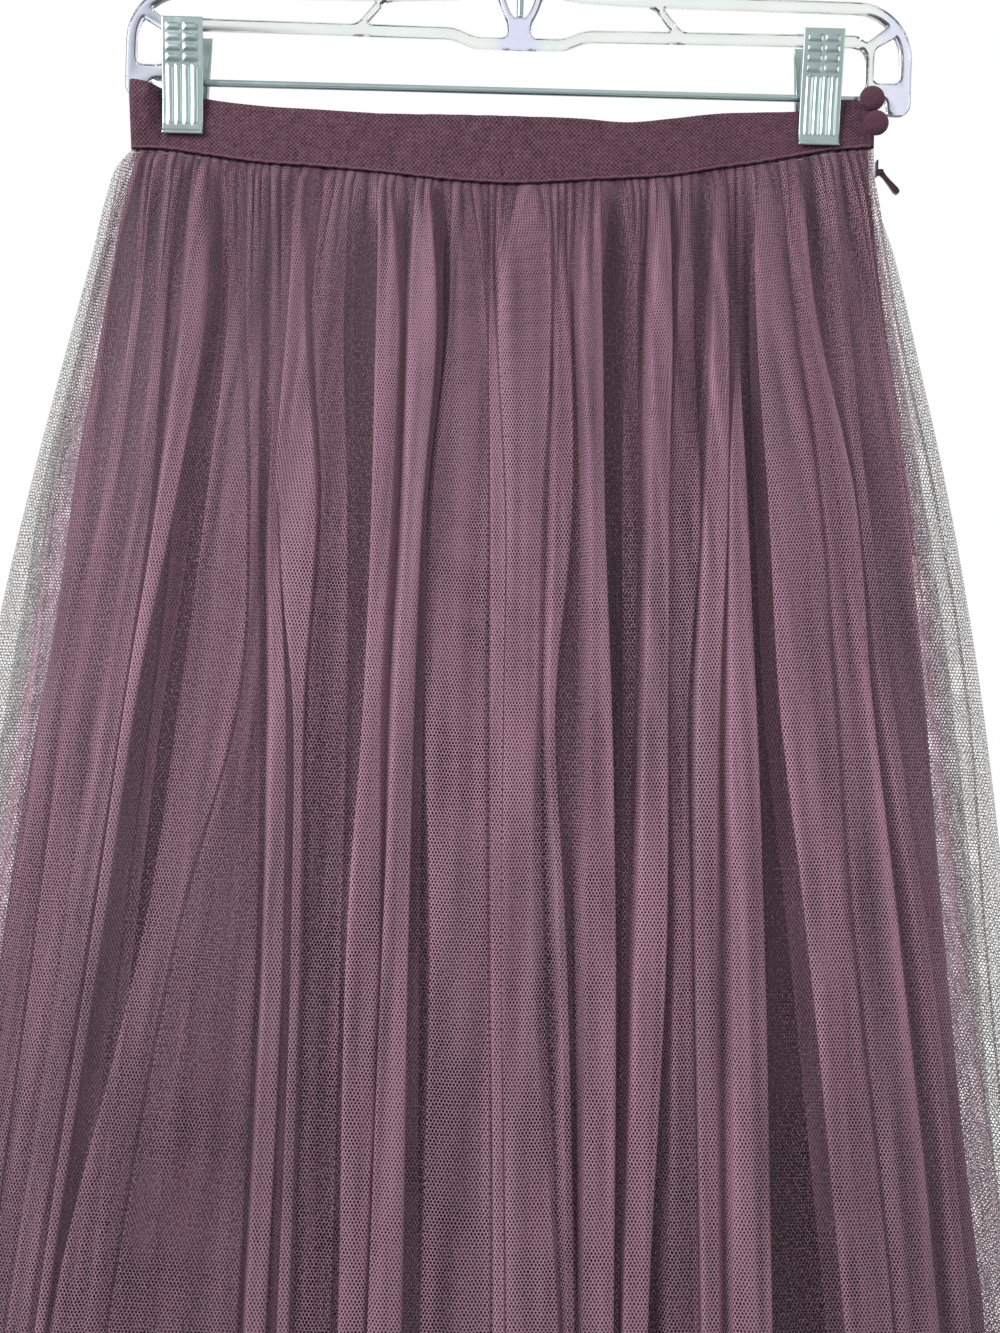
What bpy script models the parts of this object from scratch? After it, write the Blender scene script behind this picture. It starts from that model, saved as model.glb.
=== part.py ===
"""Gathered tulle skirt hung by its waistband on a clear clip hanger.

Metres, +Z up. The origin is the inside top of the hook, where a rail carries the hanger.
-Y is the front of the skirt and +X is its closing side. Tables are in millimetres.
"""

import math

import bmesh
import bpy
from mathutils import Matrix, Vector

MM = 0.001
GAP = 0.3  # clearance between neighbouring pieces

# Waist
BAND_WALL = 2.6
BAND_ROUND = 4.2
BAND_END_WALL = 1.4
BAND_INSET = 0.9  # the band's inner face stands this far outside the waist opening
BAND_LEAST_WALL = 0.8  # towards the rounded ends
BAND_END_INSET = 0.3  # how far the inner face stops short of each end
BAND_SHARES = (0.0, 0.25, 0.6, 1.0)  # rows of the band, from its top edge to its seam
LEFT_END = -174.6
RIGHT_END = 162.0
# Columns of the band beyond the clips' inner edges
LEFT_COLUMNS = [LEFT_END, -174.2, -172.6, -169.5, -166.0, -163.0, -160.2, -156.0, -149.0]
RIGHT_COLUMNS = [132.0, 138.0, 145.2, 151.0, 157.0, 160.0, 161.6, RIGHT_END]
MIDDLE_COLUMNS = 16
WAIST_OPENING = 6.0  # half of the opening midway between the clips
PINCHED = 0.1  # half of the opening inside the clips
FLOP = 6.5  # the band's left end leans this far forward at its top, clear of the hanger's boss
FLOP_START = -159.9
FLOP_LENGTH = 6.6

# Cloth layers, from the inside out
NET_WALL = 1.0
LAYER_PITCH = NET_WALL + GAP
SEAM_Z = -160.0  # level of the waist seam at its lowest
SEAM_FADE = 200.0  # how fast the rows below it level out
HEM_Z = -1160.0
ZIP_START = 18.0
ZIP_LENGTH = 190.0
ZIP_HALF_SLIT = 1.3
ZIP_THICKNESS = 1.6
ZIP_TOP_STOP = 4.0  # the tape starts this far below the slit's top and ends above its foot
ZIP_FOOT_STOP = 6.0
SLIT_FACING = 4.0  # how far in from the side the slit's edges stand apart
SEAM_HALF_GAP = 0.15
GATHER_HEIGHT = 1.1
GATHER_FADE = 95.0
FOLD_GROWTH = 150.0

# Hanger
HANGER_HALF_WIDTH = 177.8
FRAME_THICKNESS = 5.0
ROD_RADIUS = 1.6
ROD_Z = -119.4
WIRE_RADIUS = 1.5
HOOK_RADIUS = 20.5
HUB_TOP = -86.6
COLLAR_TOP = -52.0
COLLAR_BOTTOM = -60.0
COLLAR_RADIUS = 5.0
COLLAR_BEVEL = 1.0
FRAME_CORNER = (152.3, -101.0)  # centre of the frame's rounded top corner
FRAME_ARM = 5.0  # width of the arm round that corner
UPRIGHT_INSIDE = 157.4  # inner and outer face of the upright that holds the rod's end
UPRIGHT_OUTSIDE = 160.6
BOSS_TOP = -112.0
BOSS_FOOT = -121.5  # where the boss begins to round off
BOSS_ROUND = 4.8
RAIL_BOTTOM = -95.6

# Inside of one arm of the loop that the hook's shank stands in, from the hub up to the collar
LOOP_INSIDE = [
    (2.4, HUB_TOP),
    (4.2, -84.6),
    (6.6, -79.0),
    (7.3, -72.0),
    (6.6, -66.0),
    (COLLAR_RADIUS + GAP, -61.0),
    (COLLAR_RADIUS + GAP, -54.6),
]

# Outside of that arm, and the top of the frame out to its corner
FRAME_TOP = [
    (7.4, -54.6), (9.0, -58.5), (9.6, -64.0), (14.0, -70.5), (26.0, -73.4), (60.0, -75.0), (152.3, -75.5),
]
# Underside of the frame, from the boss in to the middle
FRAME_UNDERSIDE = [
    (167.2, -126.3), (166.6, -118.5), (UPRIGHT_INSIDE, -118.5), (UPRIGHT_INSIDE, -100.5), (155.8, -97.0),
    (152.0, RAIL_BOTTOM), (70.0, -96.0), (31.0, -96.4), (20.5, -100.6), (0.0, -100.6),
]
# The windows' own corners: the side window's below the corner's arc, and the middle window all round
SIDE_WINDOW = [(165.0, -87.8), (157.2, -94.0), (153.0, -90.6), (73.6, -91.2), (64.2, -79.9)]
MIDDLE_WINDOW = [
    (60.6, -79.9), (69.6, -91.2), (30.0, -91.6), (20.0, -95.7), (5.2, -95.7), (5.6, -88.6), (8.4, -83.0),
    (10.6, -76.2), (16.0, -76.6), (28.0, -78.6),
]

# Clips
CLIP_WIDTH = 18.4
CLIP_HEIGHT = 50.0
CLIP_PLATE = 1.0
CLIP_X = {"left": -150.6, "right": 136.0}
CLIP_TOP = {"left": -94.4, "right": -92.1}
LIP_DROP = 45.0  # where the jaw's flutes end and its gripping lip begins
LIP_FLARE = 0.6
LIP_BEND = 2.0  # from the start of the lip to its bend
GRIP_CLEARANCE = 0.2
JAW_MOUTH = -12.5  # depth of the front jaw's top edge
FLANGE_INSET = 0.1
FLANGE_WALL = 0.9
FLANGE_BACK = -4.3  # depth that the flanges run back to
FLANGE_FRONT_DROPS = (2.0, 34.0)
FLANGE_BACK_DROPS = (30.0, 20.0)
RELIEF = 0.5  # how far pads and flutes stand out
PAD_TOPS = (3.0, 7.3, 11.6, 15.9)
PAD_HEIGHT = 2.8
PAD_SIDES = (0.7, 7.0)
FLUTE_START = 21.0
FLUTE_SIDES = ((0.8, 2.7), (4.6, 6.6))
BARREL_RADIUS = 2.8
BARREL_LENGTH = 12.8
CLIP_EDGE_LEFT = CLIP_X["left"] + CLIP_WIDTH / 2  # the clips' inner edges
CLIP_EDGE_RIGHT = CLIP_X["right"] - CLIP_WIDTH / 2

# Closing
BUTTON_RADIUS = 5.6
BUTTON_HEIGHT = 4.6
SHANK_RADIUS = 1.9
SHANK_LENGTH = 2.2
# The dome, from its underside to its top: share of its radius, share of its height
BUTTON_DOME = [(0.82, 0.0), (0.96, 0.15), (1.0, 0.35), (0.93, 0.59), (0.73, 0.8), (0.41, 0.96), (0.0, 1.0)]
PULL_EYE = (165.4, 0.0, -152.0)
PULL_LENGTH = 12.4
PULL_ANGLE = 41.0
PULL_EYE_OUTER = 1.25
PULL_EYE_INNER = 0.8
PULL_NECK = 0.8  # half of the width of its neck
PULL_BODY = 1.05
PULL_THICKNESS = 1.1
PULL_SWELL = 0.9  # how much thicker it is at its foot, as a share
SLIDER_PLATE = (0.7, 4.2, 7.0)
SLIDER_EAR = (2.6, 0.6, 2.0)
SLIDER_EAR_OUT = 1.75
SLIDER_PIN_RADIUS = 0.45
SLIDER_PIN_LENGTH = 3.6

# The waistband's edges: place across, height of the top edge, height of the bottom edge
BAND_EDGES = [
    (-174.6, -121.0, -150.3),
    (-160.0, -123.5, -150.3),
    (-140.0, -127.5, -152.5),
    (-120.0, -129.7, -155.0),
    (-90.0, -131.5, -157.0),
    (-60.0, -133.2, -159.5),
    (-30.0, -133.4, -162.5),
    (0.0, -133.5, -163.5),
    (30.0, -133.6, -161.0),
    (50.0, -134.2, -159.2),
    (70.0, -131.5, -157.0),
    (90.0, -128.4, -153.0),
    (110.0, -127.0, -149.5),
    (127.0, -126.0, -146.0),
    (143.0, -123.2, -142.9),
    (146.0, -121.4, -142.6),
    (162.0, -121.3, -140.9),
]

# How far each layer reaches at each drop below the waist seam:
# drop, outer net left and right, inner net left and right, lining left and right, half depth, side rounding
REACH = [
    (0, 174.6, 162.0, 173.3, 160.7, 172.0, 159.4, 0.0, 4.2),
    (8, 181.0, 162.3, 176.0, 161.4, 174.0, 159.9, 2.0, 7.0),
    (20, 185.0, 163.4, 180.0, 162.0, 177.0, 160.6, 5.0, 12.0),
    (45, 190.5, 172.2, 186.5, 167.0, 181.0, 163.5, 11.0, 20.0),
    (90, 201.5, 184.5, 196.5, 176.5, 187.7, 170.2, 21.0, 32.0),
    (140, 213.5, 197.4, 209.0, 187.0, 195.4, 179.0, 30.0, 45.0),
    (200, 226.5, 210.3, 217.5, 198.0, 202.0, 187.5, 39.0, 60.0),
    (300, 242.5, 226.3, 231.0, 212.5, 217.0, 198.4, 51.0, 80.0),
    (420, 260.0, 240.0, 245.0, 225.5, 230.0, 212.5, 62.0, 100.0),
    (600, 282.5, 259.0, 264.0, 248.0, 246.0, 238.0, 75.0, 125.0),
    (800, 304.0, 276.0, 284.0, 266.0, 261.0, 254.0, 87.0, 150.0),
    (1000, 320.0, 290.0, 300.0, 280.0, 275.0, 268.0, 96.0, 170.0),
]
REACH_COLUMN = {"net_outer": 1, "net_inner": 3, "lining": 5}
DEPTH_COLUMN = 7
ROUND_COLUMN = 8
# each layer: its place in the stack at the waist, share of the depth, length kept, height of its folds
LAYERS = {
    "lining": (0.1, 0.70, 0.980, 0.15),
    "net_inner": (0.1 + LAYER_PITCH, 0.85, 0.992, 0.3),
    "net_outer": (0.1 + 2 * LAYER_PITCH, 1.0, 1.0, 1.0),
}

# Main folds of the outer net: place of the crest at the seam, 100, 300 and 520 mm below it and at the
# hem, height at full growth
FRONT_FOLDS = [
    (-167, -186, -210, -228, -268, 7.0),
    (-158, -176, -198, -215, -250, 9.0),
    (-149, -165, -184, -202, -232, 9.0),
    (-140, -153, -173, -193, -216, 12.0),
    (-127, -126, -146, -163, -187, 10.0),
    (-116, -116, -126, -137, -158, 7.0),
    (-104, -104, -103, -107, -118, 14.0),
    (-92, -93, -91, -90, -94, 8.0),
    (-76, -80, -81, -78, -76, 7.0),
    (-58, -57, -63, -64, -62, 12.0),
    (-41, -40, -44, -45, -41, 13.0),
    (-25, -22, -22, -22, -20, 6.0),
    (-10, -6, 2, 9, 14, 12.0),
    (7, 10, 17, 23, 32, 7.0),
    (21, 25, 31, 38, 50, 10.0),
    (35, 38, 45, 53, 68, 13.0),
    (52, 54, 61, 68, 86, 8.0),
    (66, 67, 75, 83, 102, 13.0),
    (79, 80, 88, 97, 120, 9.0),
    (91, 94, 101, 112, 137, 12.0),
    (102, 106, 114, 127, 156, 12.0),
    (114, 124, 148, 170, 205, 11.0),
    (129, 144, 171, 193, 228, 9.0),
    (141, 158, 189, 213, 247, 8.0),
    (153, 170, 205, 230, 264, 7.0),
]
BACK_FOLDS = [
    (-166, -184, -214, -238, -278, 8.0),
    (-151, -166, -190, -212, -248, 10.0),
    (-134, -143, -164, -184, -214, 9.0),
    (-118, -124, -142, -158, -182, 12.0),
    (-100, -103, -116, -128, -146, 8.0),
    (-84, -84, -92, -101, -114, 12.0),
    (-65, -66, -71, -78, -86, 9.0),
    (-47, -45, -47, -50, -52, 12.0),
    (-28, -27, -26, -25, -22, 8.0),
    (-11, -7, -4, -2, 4, 13.0),
    (8, 10, 16, 20, 28, 8.0),
    (26, 29, 37, 42, 54, 11.0),
    (45, 47, 58, 66, 82, 9.0),
    (64, 68, 82, 93, 112, 12.0),
    (83, 90, 107, 122, 144, 8.0),
    (102, 111, 132, 150, 176, 11.0),
    (120, 132, 156, 177, 206, 9.0),
    (137, 150, 178, 202, 234, 10.0),
    (152, 167, 200, 226, 260, 8.0),
]
FOLD_DROPS = (0.0, 100.0, 300.0, 520.0, 1000.0)
FOLD_HEIGHT = 5

# Columns across one fold: share of the way across it at the waist, place in the grown fold (0 its near
# side, 1 its crest, 2 its far side), share of its height, 1 where a small gather stands out at the waist
GATHERED_FOLD = [
    (0.0, 0.0, 0.0, 0),
    (1 / 6, 0.45, 0.42, 1),
    (2 / 6, 1.0, 1.0, 0),
    (3 / 6, 1.0, 1.0, 1),
    (4 / 6, 1.55, 0.42, 0),
    (5 / 6, 2.0, 0.0, 1),
]
PLAIN_FOLD = [(0.0, 0.0, 0.0, 0), (0.3, 0.6, 0.5, 0), (0.5, 1.0, 1.0, 0), (0.7, 1.4, 0.5, 0)]
WAIST_FADE = 260.0  # how fast the waist's own opening fades below it
SIDE_FLATTENING = 0.22  # share of the depth lost from the middle to the sides
SIDE_COLUMNS = (0.06, 0.22, 0.52)  # shares of the way from a side in to the first fold
OUTER_FLANK = 0.8  # the outermost folds' outer half, as a share of their inner one
LEAST_MARGIN = 0.35  # share of the way from a side to the first crest that stays free of folds

COLOURS = {
    "band": ((0.135, 0.065, 0.092, 1.0), 0.75, 0.0),
    "net": ((0.19, 0.10, 0.135, 1.0), 0.7, 0.0),
    "lining": ((0.11, 0.05, 0.075, 1.0), 0.6, 0.0),
    "zip": ((0.07, 0.03, 0.05, 1.0), 0.5, 0.0),
    "button": ((0.12, 0.05, 0.08, 1.0), 0.7, 0.0),
    "clear": ((0.72, 0.80, 0.76, 1.0), 0.12, 0.0),
    "chrome": ((0.72, 0.80, 0.79, 1.0), 0.22, 1.0),
}


# ---------------------------------------------------------------- scene and materials


def empty_scene():
    for thing in list(bpy.data.objects):
        bpy.data.objects.remove(thing)


def new_collection(name):
    collection = bpy.data.collections.new(name)
    bpy.context.scene.collection.children.link(collection)
    return collection


def material(name):
    found = bpy.data.materials.get(name)
    if found:
        return found
    colour, roughness, metallic = COLOURS[name]
    made = bpy.data.materials.new(name)
    made.use_nodes = True
    shader = made.node_tree.nodes["Principled BSDF"]
    shader.inputs["Base Color"].default_value = colour
    shader.inputs["Roughness"].default_value = roughness
    shader.inputs["Metallic"].default_value = metallic
    made.diffuse_color = colour
    return made


def place(name, data, finish):
    thing = bpy.data.objects.new(name, data)
    data.materials.append(material(finish))
    PARTS.objects.link(thing)
    return thing


def mesh_from(name, mesh_tool):
    mesh = bpy.data.meshes.new(name)
    mesh_tool.to_mesh(mesh)
    mesh_tool.free()
    return mesh


def curve_as_mesh(curve_thing, matrix=None):
    """Turns a curve object into a closed mesh of its own and removes the curve."""
    bpy.context.view_layer.update()
    graph = bpy.context.evaluated_depsgraph_get()
    mesh = bpy.data.meshes.new_from_object(curve_thing.evaluated_get(graph))
    tool = bmesh.new()
    tool.from_mesh(mesh)
    bmesh.ops.remove_doubles(tool, verts=tool.verts, dist=0.00001)
    if matrix is not None:
        bmesh.ops.transform(tool, matrix=matrix, verts=tool.verts)
    tool.to_mesh(mesh)
    tool.free()
    bpy.data.objects.remove(curve_thing)
    return mesh


def smooth(mesh, degrees):
    mesh.shade_smooth()
    mesh.set_sharp_from_angle(angle=math.radians(degrees))


# ---------------------------------------------------------------- tables and outlines


def mix(a, b, share):
    return a + (b - a) * share


def arc(centre, radius, start, end, steps):
    points = []
    for step in range(steps + 1):
        angle = math.radians(mix(start, end, step / steps))
        points.append((centre[0] + radius * math.cos(angle), centre[1] + radius * math.sin(angle)))
    return points


def ease(share):
    held = min(max(share, 0.0), 1.0)
    return held * held * (3.0 - 2.0 * held)


def read_table(rows, key, column):
    """The value in a column at a key, read straight between the rows on either side."""
    if key <= rows[0][0]:
        return rows[0][column]
    for low, high in zip(rows, rows[1:]):
        if key <= high[0]:
            share = (key - low[0]) / (high[0] - low[0])
            return mix(low[column], high[column], share)
    return rows[-1][column]


def band_top(x):
    return read_table(BAND_EDGES, x, 1)


def waist_seam(x):
    return read_table(BAND_EDGES, x, 2)


def waist_opening(x):
    """Half of the gap between the front and the back of the waist at x."""
    share = min(max((x - CLIP_EDGE_LEFT) / (CLIP_EDGE_RIGHT - CLIP_EDGE_LEFT), 0.0), 1.0)
    return PINCHED + (WAIST_OPENING - PINCHED) * math.sin(math.pi * share) ** 2


def forward_lean(x, share):
    """How far forward the free left end of the band leans, at a share of the way down it."""
    return FLOP * ease((FLOP_START - x) / FLOP_LENGTH) * min(1.0, (1.0 - share) / 0.75)


# ---------------------------------------------------------------- cloth


def rounding(distance, radius):
    """Share of the full depth at a distance in from the side of a rounded section."""
    q = min(distance / radius, 1.0)
    return math.sqrt(1.0 - (1.0 - q) ** 2)


def section_depth(layer, x, drop, left, right):
    """Depth of a layer's outer face, before its folds, at x on the section at a drop."""
    stack, share, _, _ = LAYERS[layer]
    at_waist = waist_opening(x) + stack + NET_WALL
    below = read_table(REACH, drop, DEPTH_COLUMN) * share
    middle = (left + right) / 2
    across = (x - middle) / ((right - left) / 2)
    depth = at_waist * math.exp(-drop / WAIST_FADE) + below * (1.0 - SIDE_FLATTENING * across * across)
    radius = read_table(REACH, drop, ROUND_COLUMN) - (LAYERS["net_outer"][0] - stack)
    edge = min(x - left, right - x)
    return depth * rounding(max(edge, 0.0), radius)


def edge_gap(x, right, drop):
    """Half of the gap between front and back: a slit along the zip, a seam elsewhere."""
    if right - x < SLIT_FACING and ZIP_START <= drop <= ZIP_LENGTH:
        return ZIP_HALF_SLIT
    return SEAM_HALF_GAP


def crest_places(folds, drop):
    """Where each fold's crest lies at a drop, read straight between the levels on either side."""
    above = 0
    while above < len(FOLD_DROPS) - 2 and drop > FOLD_DROPS[above + 1]:
        above += 1
    share = (drop - FOLD_DROPS[above]) / (FOLD_DROPS[above + 1] - FOLD_DROPS[above])
    return [mix(row[above], row[above + 1], share) for row in folds]


def fold_columns(folds, drop, left, right, gathers):
    """The columns of a section: (x, height of the main fold, height of the gather)."""
    crests = crest_places(folds, drop)
    valleys = [mix(a, b, 0.5) for a, b in zip(crests, crests[1:])]
    first = crests[0] - (valleys[0] - crests[0]) * OUTER_FLANK
    last = crests[-1] + (crests[-1] - valleys[-1]) * OUTER_FLANK
    first = max(first, mix(left, crests[0], LEAST_MARGIN))
    last = min(last, mix(right, crests[-1], LEAST_MARGIN))
    valleys = [first] + valleys + [last]
    settled = ease(drop / FOLD_GROWTH)
    gathered = GATHER_HEIGHT * (1.0 - ease(drop / GATHER_FADE))
    columns = [(left, 0.0, 0.0)]
    for share in SIDE_COLUMNS:
        columns.append((mix(left, first, share), 0.0, 0.0))
    across = GATHERED_FOLD if gathers else PLAIN_FOLD
    for row, crest, low, high in zip(folds, crests, valleys, valleys[1:]):
        for waist_share, place_in_fold, height_share, on_gather in across:
            if place_in_fold <= 1.0:
                grown = mix(low, crest, place_in_fold)
            else:
                grown = mix(crest, high, place_in_fold - 1.0)
            x = mix(mix(low, high, waist_share), grown, settled)
            columns.append((x, row[FOLD_HEIGHT] * settled * height_share, gathered * on_gather))
    columns.append((last, 0.0, 0.0))
    for share in reversed(SIDE_COLUMNS):
        columns.append((mix(right, last, share), 0.0, 0.0))
    columns.append((right, 0.0, 0.0))
    return columns


def outward_normals(points):
    """Normals of an open section in the plan, facing away from the middle of the skirt."""
    normals = []
    for index in range(len(points)):
        before = points[max(index - 1, 0)]
        after = points[min(index + 1, len(points) - 1)]
        run = (after[0] - before[0], after[1] - before[1])
        length = math.hypot(*run) or 1.0
        normals.append((run[1] / length, -run[0] / length))
    return normals


def net_section(layer, folds, drop, gathers):
    """Outer and inner points of a layer's front section, as (x, y) with y towards the front negative."""
    column = REACH_COLUMN[layer]
    left = -read_table(REACH, drop, column)
    right = read_table(REACH, drop, column + 1)
    scale = LAYERS[layer][3]
    columns = fold_columns(folds, drop, left, right, gathers)
    flat = []
    for x, _, _ in columns:
        depth = section_depth(layer, x, drop, left, right)
        flat.append((x, -max(depth, edge_gap(x, right, drop))))
    outer = []
    for point, normal, (_, fold, gather) in zip(flat, outward_normals(flat), columns):
        lift = fold * scale + gather
        outer.append((point[0] + normal[0] * lift, point[1] + normal[1] * lift))
    inner = []
    for index, (point, normal) in enumerate(zip(outer, outward_normals(outer))):
        if index in (0, len(outer) - 1):
            inward = NET_WALL if index == 0 else -NET_WALL
            inner.append((point[0] + inward, point[1]))
            continue
        gap = edge_gap(point[0] + NET_WALL, right, drop)
        y = min(point[1] - normal[1] * NET_WALL, -gap)
        inner.append((point[0] - normal[0] * NET_WALL, y))
    return outer, inner


def wall_mesh(name, outer_rows, inner_rows, side):
    """A closed wall between two grids of points; side is 1 for the front and -1 for the back."""
    tool = bmesh.new()
    grids = []
    for rows in (outer_rows, inner_rows):
        grid = [[tool.verts.new((x * MM, side * y * MM, z * MM)) for x, y, z in row] for row in rows]
        grids.append(grid)
    outer, inner = grids
    faces = []
    for r in range(len(outer) - 1):
        for c in range(len(outer[0]) - 1):
            a, b = outer[r][c], outer[r][c + 1]
            d, e = outer[r + 1][c], outer[r + 1][c + 1]
            faces.append((a, d, e, b))
            a, b = inner[r][c], inner[r][c + 1]
            d, e = inner[r + 1][c], inner[r + 1][c + 1]
            faces.append((a, b, e, d))
    last_row = len(outer) - 1
    for c in range(len(outer[0]) - 1):
        faces.append((outer[0][c], outer[0][c + 1], inner[0][c + 1], inner[0][c]))
        faces.append((outer[last_row][c], inner[last_row][c], inner[last_row][c + 1], outer[last_row][c + 1]))
    last = len(outer[0]) - 1
    for r in range(len(outer) - 1):
        faces.append((outer[r][0], inner[r][0], inner[r + 1][0], outer[r + 1][0]))
        faces.append((outer[r][last], outer[r + 1][last], inner[r + 1][last], inner[r][last]))
    for corners in faces:
        tool.faces.new(corners if side > 0 else corners[::-1])
    bmesh.ops.remove_doubles(tool, verts=tool.verts, dist=0.00001)
    bmesh.ops.triangulate(tool, faces=tool.faces)
    return mesh_from(name, tool)


def cloth_panel(layer, face, folds, drops, gathers, finish):
    """A front or back panel of a layer, from the waist seam to its hem."""
    side = 1 if face == "front" else -1
    stack, _, length_share, _ = LAYERS[layer]
    tuck = (LAYERS["net_outer"][0] - stack) * 0.5
    hem = mix(SEAM_Z, HEM_Z, length_share)
    outer_rows = []
    inner_rows = []
    for drop in drops:
        outer, inner = net_section(layer, folds, drop, gathers)
        fall = drop / drops[-1]
        seam_share = math.exp(-drop / SEAM_FADE)
        for points, rows in ((outer, outer_rows), (inner, inner_rows)):
            row = []
            for x, y in points:
                top = waist_seam(x) - GAP - tuck
                level = mix(mix(SEAM_Z, hem, fall), mix(top, top + hem - SEAM_Z, fall), seam_share)
                level = mix(level, hem, ease(fall * 2.0 - 1.0))
                row.append((x, y, level))
            rows.append(row)
    mesh = wall_mesh(f"{layer}_{face}", outer_rows, inner_rows, side)
    smooth(mesh, 60)
    place(f"{layer}_{face}", mesh, finish)


def waistband(face):
    """One side of the band: a straight strip between its two edges, rounded at its ends."""
    side = 1 if face == "front" else -1
    middle = [mix(CLIP_EDGE_LEFT, CLIP_EDGE_RIGHT, n / MIDDLE_COLUMNS) for n in range(MIDDLE_COLUMNS + 1)]
    rows = ([], [])
    for share in BAND_SHARES:
        grid = ([], [])
        for x in LEFT_COLUMNS + middle + RIGHT_COLUMNS:
            z = mix(band_top(x), waist_seam(x), share)
            lean = side * forward_lean(x, share)
            edge = min(x - LEFT_END, RIGHT_END - x)
            inside = waist_opening(x) + BAND_INSET
            outside = max((inside + BAND_WALL) * rounding(edge, BAND_ROUND), SEAM_HALF_GAP)
            inside = SEAM_HALF_GAP if edge < BAND_END_WALL else min(inside, outside - BAND_LEAST_WALL)
            grid[0].append((x, -outside - lean, z))
            grid[1].append((x, -inside - lean, z))
        grid[1][0] = (LEFT_END + BAND_END_INSET,) + grid[1][0][1:]
        grid[1][-1] = (RIGHT_END - BAND_END_INSET,) + grid[1][-1][1:]
        rows[0].append(grid[0])
        rows[1].append(grid[1])
    mesh = wall_mesh(f"waistband_{face}", rows[0], rows[1], side)
    smooth(mesh, 50)
    place(f"waistband_{face}", mesh, "band")


def build_skirt():
    outer_drops = (0.0, 14.0, 50.0, 150.0, 300.0, 560.0, 1000.0)
    inner_drops = (0.0, 20.0, 70.0, 150.0, 320.0, 600.0, 992.0)
    lining_drops = (0.0, 20.0, 90.0, 260.0, 540.0, 980.0)
    for face, folds in (("front", FRONT_FOLDS), ("back", BACK_FOLDS)):
        waistband(face)
        cloth_panel("net_outer", face, folds, outer_drops, True, "net")
        cloth_panel("net_inner", face, folds[1:-1:2], inner_drops, False, "net")
        cloth_panel("lining", face, folds[2:-2:4], lining_drops, False, "lining")


# ---------------------------------------------------------------- zip and buttons


def box_tool(centre, size):
    tool = bmesh.new()
    bmesh.ops.create_cube(tool, size=1.0)
    bmesh.ops.scale(tool, vec=Vector(size) * MM, verts=tool.verts)
    bmesh.ops.translate(tool, vec=Vector(centre) * MM, verts=tool.verts)
    return tool


def joined(name, pieces, finish):
    """One solid from overlapping pieces, joined by Boolean unions."""
    things = []
    for number, mesh in enumerate(pieces):
        thing = bpy.data.objects.new(f"{name}_piece_{number}", mesh)
        PARTS.objects.link(thing)
        things.append(thing)
    base = things[0]
    for other in things[1:]:
        union = base.modifiers.new("join", "BOOLEAN")
        union.operation = "UNION"
        union.object = other
    bpy.context.view_layer.update()
    graph = bpy.context.evaluated_depsgraph_get()
    mesh = bpy.data.meshes.new_from_object(base.evaluated_get(graph))
    for thing in things:
        bpy.data.objects.remove(thing)
    mesh.name = name
    return place(name, mesh, finish)


def turned_disc(radius, depth, segments, axis):
    """A short cylinder about an axis through the origin."""
    tool = bmesh.new()
    bmesh.ops.create_cone(
        tool, cap_ends=True, segments=segments, radius1=radius * MM, radius2=radius * MM, depth=depth * MM
    )
    turn = {"X": Matrix.Rotation(math.pi / 2, 4, "Y"), "Y": Matrix.Rotation(math.pi / 2, 4, "X")}
    if axis in turn:
        bmesh.ops.transform(tool, matrix=turn[axis], verts=tool.verts)
    return tool


def zip_tape():
    """The closed coil between the two edges of the side opening."""
    outer = []
    inner = []
    half = ZIP_HALF_SLIT - GAP
    for drop in (ZIP_START + ZIP_TOP_STOP, 45.0, 90.0, 140.0, ZIP_LENGTH - ZIP_FOOT_STOP):
        x = read_table(REACH, drop, REACH_COLUMN["lining"] + 1)
        z = waist_seam(RIGHT_END) - drop
        outer.append([(x, -half, z), (x, half, z)])
        inner.append([(x - ZIP_THICKNESS, -half, z), (x - ZIP_THICKNESS, half, z)])
    mesh = wall_mesh("zip_tape", outer, inner, 1)
    place("zip_tape", mesh, "zip")


def zip_slider():
    """The slider's outside: a back plate on the seam, with two ears that carry the pull's pin."""
    x, y, z = PULL_EYE
    pieces = [mesh_from("plate", box_tool((x - 1.95, y, z + 1.6), SLIDER_PLATE))]
    for turn in (-1, 1):
        pieces.append(mesh_from("ear", box_tool((x - 0.6, y + turn * SLIDER_EAR_OUT, z), SLIDER_EAR)))
    pin = turned_disc(SLIDER_PIN_RADIUS, SLIDER_PIN_LENGTH, 10, "Y")
    bmesh.ops.translate(pin, vec=Vector(PULL_EYE) * MM, verts=pin.verts)
    pieces.append(mesh_from("pin", pin))
    return joined("zip_slider", pieces, "zip")


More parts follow.
